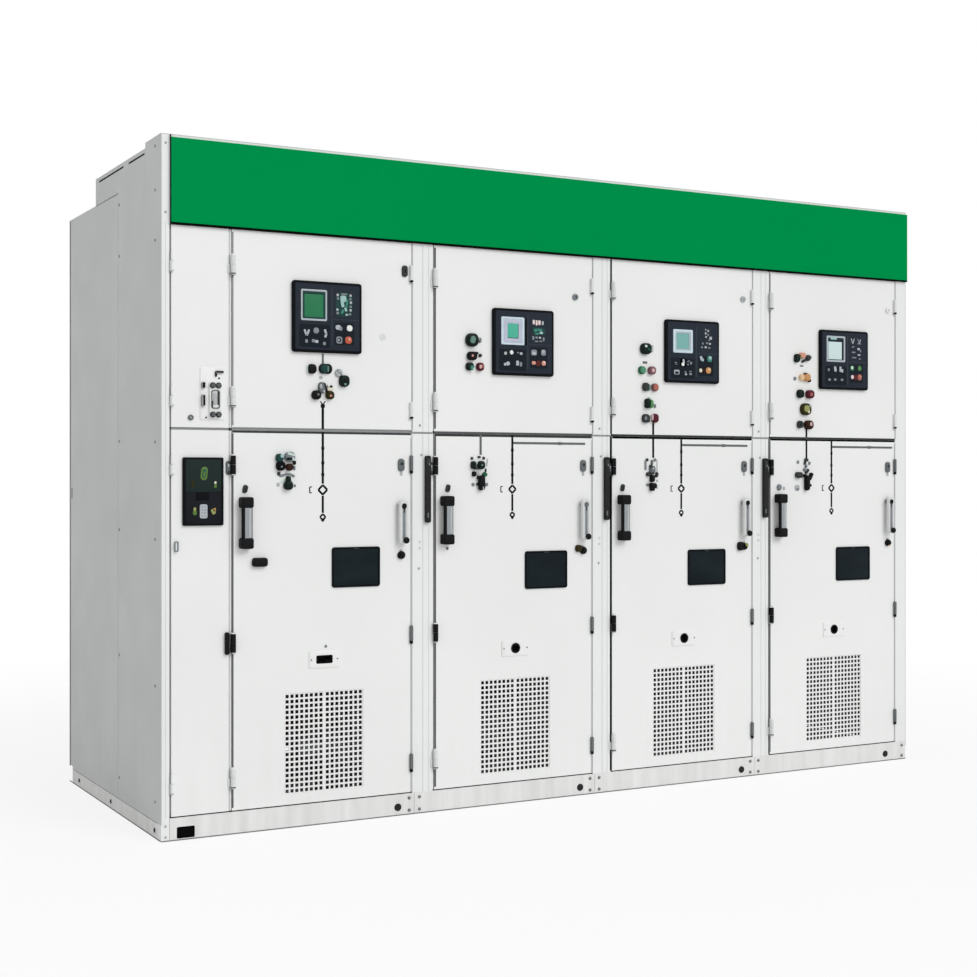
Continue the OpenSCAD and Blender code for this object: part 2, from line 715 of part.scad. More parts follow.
module rear_bolt(x, z) {
  translate([x, depth - 6, z]) rotate([-90, 0, 0]) cylinder(r = bolt_r, h = bolt_h);
}

module panel_bolts() color([0.3, 0.31, 0.32]) placed() {
  // Plinth bolts on both sides of each seam, and the round rubber plugs
  for (k = [1:cubicles])
    for (z = [16, 59]) {
      edge = k == cubicles ? total_w - sheet : boundary_x(k);
      bolt(edge - 20, z);
      if (k < cubicles) bolt(edge + 20, z);
    }
  for (i = [1:cubicles])
    bolt(door_x(i) + plug_at[0], plug_at[1], 0, plug_r);
  // Left end post
  for (z = [15, 50, header_z + 35, height - 30])
    bolt((sheet + end_post_w) / 2, z, 0, post_screw_r);
  // Screws of the end walls, beside the front edge and beside the seam of the two sheets
  for (left = [true, false]) {
    for (z = [rail_h + 67, mid_z - 209, seam_z - 363, seam_z - 43, header_z - 50, rear_roof_z - 59])
      side_bolt(64, z, left);
    for (z = [rail_h + 77, mid_z - 149, seam_z - 343, seam_z - 33, header_z - 50, rear_roof_z - 44])
      side_bolt(490, z, left);
    for (y = [70, depth / 2, cover_y - 103])
      side_bolt(y, rail_h / 2, left, side_plug_r);
    side_bolt(64, height - 31, left);
  }
  // Rear covers
  edges = [0, boundary_x(1), boundary_x(2), boundary_x(3), total_w];
  rear_screws = [rail_h + 57, (rail_h + split_z) / 2, split_z - 50,
    split_z + 60, (split_z + rear_roof_z) / 2, rear_roof_z - 54];
  for (i = [0:cubicles - 1])
    for (x = [edges[i] + 22, edges[i + 1] - 22])
      for (z = rear_screws)
        rear_bolt(x, z);
}

module door_leaf(x, w, z0, z1) {
  pan([x, x + w], [0, door_t], [z0, z1], door_skin);
}

module door_knuckles(x, r, pin, zs) {
  for (z = zs)
    translate([x, 0, 0]) door_knuckle(r, pin, z);
}

// Two key barrels on a base plate, with their latch levers and a hook for the keys
module key_interlock(x, z) {
  half = 48;
  on_face(x - 8, z + 21, 1) linear_extrude(3) rounded(84, 172, 6);
  on_face(x, z, 0) linear_extrude(9) rounded(40, 2 * half + 24, 8);
  for (sx = [-10, 10])
    for (sz = [-half, half])
      on_face(x + sx, z + sz, 0) cylinder(r = 9, h = 15);
  on_face(x - 40, z + half, 0) linear_extrude(10) rounded(11, 20, 3);
  on_face(x - 40, z - 2, 0) linear_extrude(13) rounded(11, 38, 3);
  on_face(x + 15, z + 93, 0) linear_extrude(9) rounded(28, 8, 3);
}

module end_door_upper() color([0.91, 0.91, 0.91]) placed() {
  union() {
    door_leaf(end_door_x, end_door_w, upper_z0, upper_z1);
    door_knuckles(end_door_x, small_hinge_r, small_pin_r, upper_hinges);
    // Quarter-turn lock near the foot of the door
    on_face(end_mid - 32, seam_z + 34, 1) cylinder(r = 8, h = 5);
    key_interlock(end_mid + 49, seam_z + 95);
  }
}

module end_door_lower() color([0.91, 0.91, 0.91]) placed() {
  union() {
    door_leaf(end_door_x, end_door_w, lower_z0, lower_z1);
    door_knuckles(end_door_x, small_hinge_r, small_pin_r, [lower_hinges[0], lower_hinges[2]]);
  }
}

module end_controls() color([0.12, 0.13, 0.14]) placed() {
  // Display panel with its keypad block and its indicators
  panel_z = seam_z - 206;
  union() {
    on_face(end_mid + 8, panel_z) linear_extrude(9) rounded(138, 224, 8);
    on_face(end_mid + 8, panel_z - 65, -8) linear_extrude(4) rounded(34, 58, 4);
    on_face(end_mid + 10, panel_z + 59, -8) cylinder(r = 11, h = 4);
    for (x = [end_mid - 24, end_mid + 44])
      on_face(x, panel_z + 27, -8) cylinder(r = 7, h = 3);
  }
  // Pull and catch
  on_face(end_door_x + end_door_w - 8, mid_z - 75) linear_extrude(14) rounded(14, 74, 5);
  on_face(end_door_x + 16, seam_z - 385) linear_extrude(12) rounded(12, 34, 4);
}

module upper_door(i) color([0.91, 0.91, 0.91]) placed() {
  x = door_x(i);
  at = relay_at[i - 1];
  difference() {
    union() {
      door_leaf(x, door_w, upper_z0, upper_z1);
      door_knuckles(x, hinge_r, pin_r, upper_hinges);
    }
    slab([x + at[0] - relay_w / 2 + 14, x + at[0] + relay_w / 2 - 14], [-1, door_skin + 1],
      [upper_base(i) + at[1] - relay_h / 2 + 14, upper_base(i) + at[1] + relay_h / 2 - 14]);
  }
}

module relay(i) color([0.17, 0.19, 0.24]) placed() {
  x = door_x(i) + relay_at[i - 1][0];
  z = upper_base(i) + relay_at[i - 1][1];
  screen_x = -relay_w * 0.19;
  screen_z = relay_h * 0.17;
  union() {
    difference() {
      on_face(x, z) linear_extrude(relay_proud) rounded(relay_w, relay_h, 10);
      on_face(x + screen_x, z + screen_z, 3 - relay_proud) linear_extrude(10) square([72, 84], center = true);
    }
    // Frame round the screen
    on_face(x + screen_x, z + screen_z, 0.5 - relay_proud)
      linear_extrude(3.5)
        difference() {
          rounded(94, 108, 4);
          square([76, 88], center = true);
        }
    // Four round keys and six small ones
    for (c = [0, 1])
      for (r = [0, 1])
        on_face(x + relay_w * (0.20 + 0.155 * c), z - relay_h * (0.15 + 0.165 * r), 0.5 - relay_proud)
          cylinder(r = 10, h = 4.5);
    for (c = [0:2])
      for (r = [0, 1])
        on_face(x - relay_w * (0.29 - 0.14 * c), z - relay_h * (0.19 + 0.145 * r), 0.5 - relay_proud)
          cylinder(r = 7, h = 3);
    // Case behind the door
    slab([x - relay_w / 2 + 15, x + relay_w / 2 - 15], [-1, relay_case_d],
      [z - relay_h / 2 + 15, z + relay_h / 2 - 15]);
  }
}

module lamp(x, z) {
  on_face(x, z)
    rotate_extrude()
      polygon([[0, 0], [lamp_r, 0], [lamp_r, 4], [lamp_r - 2, 6], [lamp_r - 2, 9], [lamp_r - 4, 14],
        [lamp_r - 8, 17], [0, 18]]);
}

module knob(x, z) {
  on_face(x, z) {
    cylinder(r = knob_r, h = 7);
    translate([0, 0, 6]) cylinder(r = knob_r - 5, h = 9);
    translate([-4, -knob_r + 3, 14]) cube([8, 2 * knob_r - 6, 10]);
  }
}

// Latch barrel that bridges the seam at the free edge of a door
module latch_barrel(x, z) {
  slab([x + door_w - 7, x + door_w + 4], [-10, -1], [z - 32, z + 32]);
  slab([x + door_w - 7, x + door_w - 1], [-2, 0], [z - 32, z + 32]);
}

module upper_controls(i) color([0.2, 0.22, 0.22]) placed() {
  x = door_x(i);
  for (at = upper_lamps_at[i - 1])
    lamp(x + at[0], upper_base(i) + at[1]);
  for (at = upper_knobs_at[i - 1])
    knob(x + at[0], upper_base(i) + at[1]);
  on_face(x + door_w - upper_lock_at[i - 1][0], header_z - upper_lock_at[i - 1][1]) {
    cylinder(r = 11, h = 8);
    translate([-3, -9, 7]) cube([6, 18, 6]);
  }
  for (z = upper_latch_zs)
    latch_barrel(x, z);
}

module lower_door(i) color([0.9, 0.9, 0.9]) placed() {
  x = door_x(i);
  at = window_at[i - 1];
  difference() {
    union() {
      door_leaf(x, door_w, lower_z0, lower_z1);
      door_knuckles(x, hinge_r, pin_r, lower_hinges);
    }
    slab([x + at[0] - window_w / 2 + 12, x + at[0] + window_w / 2 - 12], [-1, door_skin + 1],
      [seam_z - at[1] - window_h / 2 + 12, seam_z - at[1] + window_h / 2 - 12]);
    slab([x + vent_at[0] - vent_w / 2 - 4, x + vent_at[0] + vent_w / 2 + 4], [-1, door_skin + 1],
      [vent_at[1] - vent_h / 2 - 4, vent_at[1] + vent_h / 2 + 4]);
    slab([x + socket_x - socket_w / 2, x + socket_x + socket_w / 2], [-1, door_skin + 1],
      [socket_z - socket_h / 2, socket_z + socket_h / 2]);
  }
}

module lower_controls(i) color([0.1, 0.1, 0.11]) placed() {
  x = door_x(i);
  cap = 36;
  // Pull handle: two end blocks and the bar between them
  for (s = [-1, 1])
    slab([x + grip_at[0] - grip_w / 2, x + grip_at[0] + grip_w / 2], [-grip_proud, 0],
      [grip_at[1] + s * (grip_len - cap) / 2 - cap / 2, grip_at[1] + s * (grip_len - cap) / 2 + cap / 2]);
  slab([x + grip_at[0] - grip_w / 2 + 4, x + grip_at[0] + grip_w / 2 - 4],
    [-grip_proud + 1, -grip_proud + 11],
    [grip_at[1] - grip_len / 2 + cap + seat, grip_at[1] + grip_len / 2 - cap - seat]);
  // Key lock above the handle
  on_face(x + key_at[0], key_at[1]) linear_extrude(7) rounded(16, 26, 7);
  for (at = lower_lamps_at[i - 1])
    lamp(x + at[0], seam_z - at[1]);
  knob(x + lower_knobs_at[i - 1][0], seam_z - lower_knobs_at[i - 1][1]);
  // Boss and pivot pin of the swing lever
  on_face(x + lever_at[0], lever_at[1]) {
    cylinder(r = 13, h = lever_boss);
    cylinder(r = lever_pin_r, h = lever_boss + lever_t + 3);
    translate([0, 0, lever_boss + lever_t + run_gap * 2]) cylinder(r = 9, h = 2.4);
  }
  // Catch below the lever, oval lock above it
  on_face(x + catch_at[0], catch_at[1]) {
    cylinder(r = 14, h = 10);
    translate([0, 0, 9]) cylinder(r = 9, h = 8);
  }
  on_face(x + oval_at[0], oval_at[1]) linear_extrude(8) rounded(24, 46, 11);
  // Crank socket: plate with its opening
  on_face(x + socket_x, socket_z)
    linear_extrude(3)
      difference() {
        square([112, 58], center = true);
        square([socket_w - 8, socket_h - 6], center = true);
      }
  for (z = latch_zs)
    latch_barrel(x, z);
  // Small extra catch on the first door
  if (i == 1)
    on_face(x + 96, seam_z - 443) linear_extrude(18) rounded(52, 30, 9);
}

module window_pane(i) color([0.13, 0.16, 0.2]) placed() {
  x = door_x(i) + window_at[i - 1][0];
  z = seam_z - window_at[i - 1][1];
  // Frame, and the pane that seats in it
  on_face(x, z)
    linear_extrude(5)
      difference() {
        rounded(window_w, window_h, 9);
        square([window_w - 26, window_h - 26], center = true);
      }
  on_face(x, z, 0) linear_extrude(3) square([window_w - 26, window_h - 26], center = true);
}

// Perforated plate seated behind the door skin
module vent(i) color([0.9, 0.9, 0.89]) placed() {
  x = door_x(i) + vent_at[0];
  side_cols = 8;
  rows = 19;
  step_x = (vent_w - vent_bar - 2 * vent_hole) / (2 * side_cols - 2);
  step_z = (vent_h - vent_hole) / (rows - 1);
  on_face(x, vent_at[1], door_skin + 2)
    linear_extrude(2)
      difference() {
        square([vent_w + 30, vent_h + 30], center = true);
        for (c = [0:side_cols - 1])
          for (r = [0:rows - 1])
            for (s = [0, 1])
              translate([(s == 0 ? -vent_w / 2 : vent_bar / 2) + c * step_x, -vent_h / 2 + r * step_z])
                square(vent_hole);
      }
}

module lever(i) color([0.85, 0.86, 0.86]) placed() {
  x = door_x(i) + lever_at[0];
  z = lever_at[1];
  on_face(x, z, -lever_boss - run_gap)
    difference() {
      union() {
        linear_extrude(lever_t)
          translate([0, -lever_len / 2 + lever_w / 2]) rounded(lever_w, lever_len, 8);
        translate([8, -lever_len + lever_w / 2 + 12, lever_t - 1]) cylinder(r = 11, h = 12);
      }
      translate([0, 0, -1]) cylinder(r = lever_pin_r + pin_fit, h = lever_t + 2);
    }
}

// One breaker pole: ribbed tube with its two contact arms
module pole(x) {
  y = pole_y;
  z0 = lower_contact_z - 90;
  z1 = upper_contact_z + 90;
  ribs = 8;
  step = (z1 - z0) / ribs;
  profile = [for (k = [0:ribs - 1]) each [
    [46, z0 + k * step], [46, z0 + (k + 0.35) * step], [56, z0 + (k + 0.45) * step],
    [56, z0 + (k + 0.55) * step], [46, z0 + (k + 0.65) * step]]];
  translate([x, y, 0]) rotate_extrude() polygon(concat([[0, z0]], profile, [[46, z1], [0, z1]]));
  for (z = [lower_contact_z, upper_contact_z])
    on_face(x, z, arm_end) cylinder(r = arm_r, h = arm_end - y);
}

module truck(i) color([0.55, 0.57, 0.6]) placed() {
  cx = door_x(i) + door_w / 2;
  xs = [cx - truck_w / 2, cx + truck_w / 2];
  housing_y = [truck_y + 4, housing_back];
  // Chassis, open at the top behind the housing, with the racking screw hole
  difference() {
    slab(xs, [truck_y, truck_back], [cassette_z, cassette_z + cassette_h]);
    slab([xs[0] + 3, xs[1] - 3], [housing_y[1], truck_back - 3],
      [cassette_z + 3, cassette_z + cassette_h + 1]);
    on_face(cx, socket_z, truck_y + 40) cylinder(r = 11, h = 50);
  }
  // Mechanism housing with a sloping top
  translate([xs[0] + 10, 0, 0])
    rotate([90, 0, 90])
      linear_extrude(truck_w - 20)
        polygon([[housing_y[0], cassette_z + cassette_h], [housing_y[1], cassette_z + cassette_h],
          [housing_y[1], housing_z1], [housing_y[0] + 40, housing_z1], [housing_y[0], housing_z1 - 40]]);
  // Front plate with push buttons and flag windows
  on_face(cx, cassette_z + cassette_h + 230, housing_y[0]) {
    linear_extrude(3) rounded(300, 260, 10);
    for (s = [-1, 1]) {
      translate([s * 70, 60, 2]) cylinder(r = 20, h = 10);
      translate([s * 70, -20, 2]) linear_extrude(4) rounded(60, 26, 3);
    }
    translate([0, -80, 2]) linear_extrude(4) rounded(90, 40, 4);
  }
  // Brackets that hold the poles off the housing
  for (p = [-1:1]) {
    x = cx + p * pole_pitch;
    for (z = [lower_contact_z + 60, upper_contact_z - 90])
      slab([x - 25, x + 25], [housing_y[1], pole_y - 42], [z, z + 40]);
    pole(x);
  }
  // Wheels on their stub axles
  for (s = [-1, 1])
    for (y = [truck_y + 40, truck_back - 40])
      translate([cx + s * (truck_w / 2 + 10), y, cassette_z])
        rotate([0, s * 90, 0]) {
          translate([0, 0, -8]) cylinder(r = wheel_r - run_gap, h = 16);
          translate([0, 0, -18]) cylinder(r = 7, h = 22);
        }
}

// Shutter plate, raised while the truck is in service
module shutter(i) color([0.7, 0.71, 0.72]) placed() {
  cx = door_x(i) + door_w / 2;
  difference() {
    slab([cx - truck_w / 2, cx + truck_w / 2], [shutter_y, shutter_y + shutter_t],
      [lower_contact_z - shutter_foot, upper_contact_z + shutter_head]);
    for (p = [-1:1])
      for (z = [lower_contact_z, upper_contact_z])
        slab([cx + p * pole_pitch - shutter_hole / 2, cx + p * pole_pitch + shutter_hole / 2],
          [shutter_y - 1, shutter_y + shutter_t + 1], [z - shutter_hole / 2, z + shutter_hole / 2]);
  }
}

base_frame();
end_walls();
inner_walls();
frame_posts();
header_panel();
roof_covers();
rear_covers();
busbars();
feeder_bars();
insulators();
current_transformers();
earth_bar();
truck_rails();
hinge_pins();
pillar_strips();
terminal_rows();
panel_bolts();
end_door_upper();
end_door_lower();
end_controls();
for (i = [1:cubicles]) {
  upper_door(i);
  relay(i);
  upper_controls(i);
  lower_door(i);
  lower_controls(i);
  window_pane(i);
  vent(i);
  lever(i);
  truck(i);
  shutter(i);
}
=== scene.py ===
"""Dresses the switchgear lineup: procedural materials on the CAD pieces, and detailed fittings on the doors.

Fittings are laid out in millimetres in the part's corner frame: x from the left end, y back from the door
faces, z up. put() turns them into metres in the row frame.
"""
import math

import bmesh
import bpy
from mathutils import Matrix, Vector


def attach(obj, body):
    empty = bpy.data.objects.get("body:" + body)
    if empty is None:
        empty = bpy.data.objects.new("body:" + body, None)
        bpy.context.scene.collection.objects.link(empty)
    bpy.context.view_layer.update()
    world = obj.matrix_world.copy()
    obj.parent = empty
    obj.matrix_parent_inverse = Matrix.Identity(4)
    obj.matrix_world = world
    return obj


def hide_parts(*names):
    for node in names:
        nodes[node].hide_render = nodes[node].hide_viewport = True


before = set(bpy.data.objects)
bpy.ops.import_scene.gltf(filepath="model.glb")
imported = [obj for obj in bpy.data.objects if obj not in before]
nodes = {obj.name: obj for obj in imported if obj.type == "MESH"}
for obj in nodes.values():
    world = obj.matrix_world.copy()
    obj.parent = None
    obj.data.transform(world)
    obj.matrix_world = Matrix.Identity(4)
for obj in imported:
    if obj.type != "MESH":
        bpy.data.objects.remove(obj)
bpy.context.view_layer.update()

# Sizes and heights of the lineup, as in part.scad
PITCH, END_W, DOOR_W, TOTAL_W, DEPTH = 750, 240, 660, 3212, 1200
SEAM, PLINTH, HEADER_Z, HEIGHT = 1343, 75, 2010, 2300
LOWER_MID = (PLINTH + SEAM) / 2
CUBICLES = (1, 2, 3, 4)

# Heights of the hinges, and places on a lower door as x from its left edge and height
LOWER_HINGES, UPPER_HINGES = (188, 635, 1225), (SEAM + 107, HEADER_Z - 122)
GRIP, KEY_LOCK_Z = (45, SEAM - 311), SEAM - 198
LEVER, OVAL_LOCK, CATCH = (DOOR_W - 38, SEAM - 259), (DOOR_W - 40, SEAM - 116), (DOOR_W - 40, SEAM - 431)
CRANK = (DOOR_W / 2, 563)
DIAMONDS, BRANCH_X = (SEAM - 202, SEAM - 295), 187      # of the one-line diagram
FILM = -0.35        # y of the face of the thin strips on doors and posts
KEY_FOOT, KEY_TOP = 13.4, 14.6      # relay keys, out from the door
EDGE_ANGLE = math.radians(38)       # faces that meet at more stay sharp
UNDER = (1.58, 0.57)        # half of the ground under the cabinets, in metres


def door_x(i):
    return END_W + (i - 1) * PITCH


def on_door(i, place):
    """A place on a door, given as x from the door's left edge and height."""
    return door_x(i) + place[0], place[1]


# ---------------------------------------------------------------- materials

def srgb(r, g, b):
    """A colour given as 0..255 picture values, as linear RGBA."""
    def lin(v):
        v /= 255
        return v / 12.92 if v <= 0.04045 else ((v + 0.055) / 1.055) ** 2.4
    return (lin(r), lin(g), lin(b), 1.0)


def scaled(c, k):
    return (min(c[0] * k, 1), min(c[1] * k, 1), min(c[2] * k, 1), 1)


class Tree:
    """Short names for building one node tree."""

    def __init__(self, tree):
        self.tree = tree

    def new(self, kind, **values):
        node = self.tree.nodes.new(kind)
        for key, value in values.items():
            if key in node.inputs:
                node.inputs[key].default_value = value
            else:
                setattr(node, key, value)
        return node

    def feed(self, socket, value):
        """Links an input to an output, or gives it a plain value."""
        if isinstance(value, bpy.types.NodeSocket):
            self.tree.links.new(value, socket)
        else:
            socket.default_value = value

    def math(self, operation, *values):
        node = self.new("ShaderNodeMath", operation=operation)
        for socket, value in zip(node.inputs, values):
            self.feed(socket, value)
        return node.outputs[0]

    def axes(self, vector):
        node = self.new("ShaderNodeSeparateXYZ")
        self.feed(node.inputs[0], vector)
        return node.outputs

    def ramp(self, value, low, high, out_low=0.0, out_high=1.0):
        node = self.new("ShaderNodeMapRange")
        names = ("Value", "From Min", "From Max", "To Min", "To Max")
        for key, v in zip(names, (value, low, high, out_low, out_high)):
            self.feed(node.inputs[key], v)
        return node.outputs["Result"]

    def seen(self):
        """1 for the rays that show a thing to the camera: straight, mirrored or through a clear body."""
        path = self.new("ShaderNodeLightPath").outputs
        straight = self.math("MAXIMUM", path["Is Camera Ray"], path["Is Glossy Ray"])
        return self.math("MAXIMUM", straight, path["Is Transmission Ray"])


class Nodes(Tree):
    """The tree of a new material, with its shader and object coordinates."""

    def __init__(self, name):
        self.material = bpy.data.materials.new(name)
        self.material.use_nodes = True
        super().__init__(self.material.node_tree)
        self.bsdf = self.tree.nodes["Principled BSDF"]
        self.coord = self.new("ShaderNodeTexCoord").outputs["Object"]

    def stretched(self, scale):
        """Object coordinates stretched per axis, for grain."""
        node = self.new("ShaderNodeMapping", Scale=scale)
        self.feed(node.inputs["Vector"], self.coord)
        return node.outputs["Vector"]

    def texture(self, kind, vector=None, **values):
        node = self.new("ShaderNodeTex" + kind, **values)
        self.feed(node.inputs["Vector"], vector or self.coord)
        return node.outputs

    def noise(self, scale, detail=2.0, vector=None):
        return self.texture("Noise", vector, Scale=scale, Detail=detail)["Fac"]

    def mix(self, factor, a, b):
        node = self.new("ShaderNodeMix", data_type="RGBA")
        for socket, value in zip([s for s in node.inputs if s.type == "RGBA"], (a, b)):
            self.feed(socket, value)
        self.feed([s for s in node.inputs if s.name == "Factor" and s.type == "VALUE"][0], factor)
        return [s for s in node.outputs if s.type == "RGBA"][0]

    def shades(self, factor, colour, low, high):
        """From a darker to a lighter shade of one colour."""
        return self.mix(factor, scaled(colour, low), scaled(colour, high))

    def surface(self, colour, rough, metal=0.0, coat=0.0, shine=0.5):
        for name, value in (("Base Color", colour), ("Roughness", rough), ("Metallic", metal),
                            ("Coat Weight", coat), ("Specular IOR Level", shine)):
            self.feed(self.bsdf.inputs[name], value)

    def bump(self, height, strength, distance, edge=0.0):
        """Bump on the base normal, or on edges rounded by the given radius."""
        node = self.new("ShaderNodeBump", Strength=strength, Distance=distance)
        self.feed(node.inputs["Height"], height)
        if edge:
            rim = self.new("ShaderNodeBevel", samples=4, Radius=edge)
            self.feed(node.inputs["Normal"], rim.outputs["Normal"])
        self.feed(self.bsdf.inputs["Normal"], node.outputs["Normal"])


def powder_coat(name, colour, rough=0.42, low_darkening=0.10, edge=0.0012, shine=0.5):
    """Painted sheet: fine orange peel, faint clouding, and streaks of a greyer, darker tone that grow towards the
    floor.
    """
    n = Nodes(name)
    base = n.shades(n.ramp(n.noise(1.3, 3.0), 0.35, 0.65), colour, 0.975, 1.015)
    low = n.ramp(n.axes(n.coord)["Z"], 0.0, 0.5, low_darkening, 0.0)
    streaks = n.ramp(n.noise(9.0, 4.0, n.stretched((3.0, 3.0, 0.35))), 0.3, 0.75)
    darkened = n.mix(n.math("MULTIPLY", low, streaks), base, srgb(168, 164, 155))
    n.surface(darkened, n.ramp(n.noise(6.0, 3.0), 0.3, 0.7, rough - 0.05, rough + 0.07), shine=shine)
    n.bump(n.noise(900.0, 1.0), 0.10, 0.0004, edge)
    return n.material


def brushed(name, colour, rough=0.32, grain=(1, 1, 60), metal=0.9):
    """Bare or plated metal with a drawn grain along one axis."""
    n = Nodes(name)
    drawn = n.noise(14.0, 4.0, n.stretched(grain))
    n.surface(n.shades(drawn, colour, 0.86, 1.1), n.ramp(drawn, 0.3, 0.7, rough - 0.08, rough + 0.1), metal)
    n.bump(drawn, 0.08, 0.0003, 0.0006)
    return n.material


def galvanised(name, colour):
    """Zinc-coated sheet with its faint crystal flakes."""
    n = Nodes(name)
    flakes = n.ramp(n.texture("Voronoi", Scale=55.0)["Distance"], 0.0, 0.7)
    n.surface(n.shades(flakes, colour, 0.92, 1.06), n.ramp(n.noise(30.0, 3.0), 0.3, 0.7, 0.38, 0.55), 0.75)
    n.bump(n.noise(120.0, 2.0), 0.06, 0.0004, 0.0008)
    return n.material


def plastic(name, colour, rough, shine=0.25, grain=1400.0, depth=0.12, coat=0.0):
    """Moulded plastic with a fine spark-eroded grain."""
    n = Nodes(name)
    n.surface(n.shades(n.noise(40.0, 3.0), colour, 0.9, 1.12),
              n.ramp(n.noise(70.0, 2.0), 0.3, 0.7, rough - 0.06, rough + 0.08), coat=coat, shine=shine)
    n.bump(n.noise(grain, 1.0), depth, 0.0003)
    return n.material


def lens(name, colour):
    """Coloured indicator lens: lightly coated, with the ribs of its diffuser showing."""
    n = Nodes(name)
    ribs = n.texture("Wave", Scale=260.0, bands_direction="DIAGONAL")["Fac"]
    n.surface(n.shades(ribs, colour, 0.8, 1.2), n.ramp(ribs, 0.0, 1.0, 0.18, 0.3), coat=0.12, shine=0.2)
    n.feed(n.bsdf.inputs["Emission Color"], colour)
    n.feed(n.bsdf.inputs["Emission Strength"], 0.04)
    n.bump(ribs, 0.12, 0.0004)
    return n.material


def display(name, colour, glow):
    """Backlit screen: even tone with faint pixel rows."""
    n = Nodes(name)
    rows = n.texture("Wave", Scale=230.0, bands_direction="Z")["Fac"]
    tone = n.mix(n.ramp(rows, 0.0, 1.0, 0.0, 0.3), colour, scaled(colour, 0.82))
    n.surface(tone, n.ramp(n.noise(50.0, 2.0), 0.3, 0.7, 0.2, 0.3), shine=0.08)
    n.feed(n.bsdf.inputs["Emission Color"], tone)
    n.feed(n.bsdf.inputs["Emission Strength"], glow)
    return n.material


def smoked_pane(name, colour):
    """Dark inspection pane: glossy, with faint smears."""
    n = Nodes(name)
    smear = n.noise(5.0, 5.0, n.stretched((1.0, 1.0, 3.0)))
    n.surface(n.shades(n.ramp(smear, 0.35, 0.7), colour, 0.8, 1.3), n.ramp(smear, 0.3, 0.7, 0.06, 0.2), shine=0.06)
    n.bump(n.noise(3.0, 2.0), 0.02, 0.001)
    return n.material


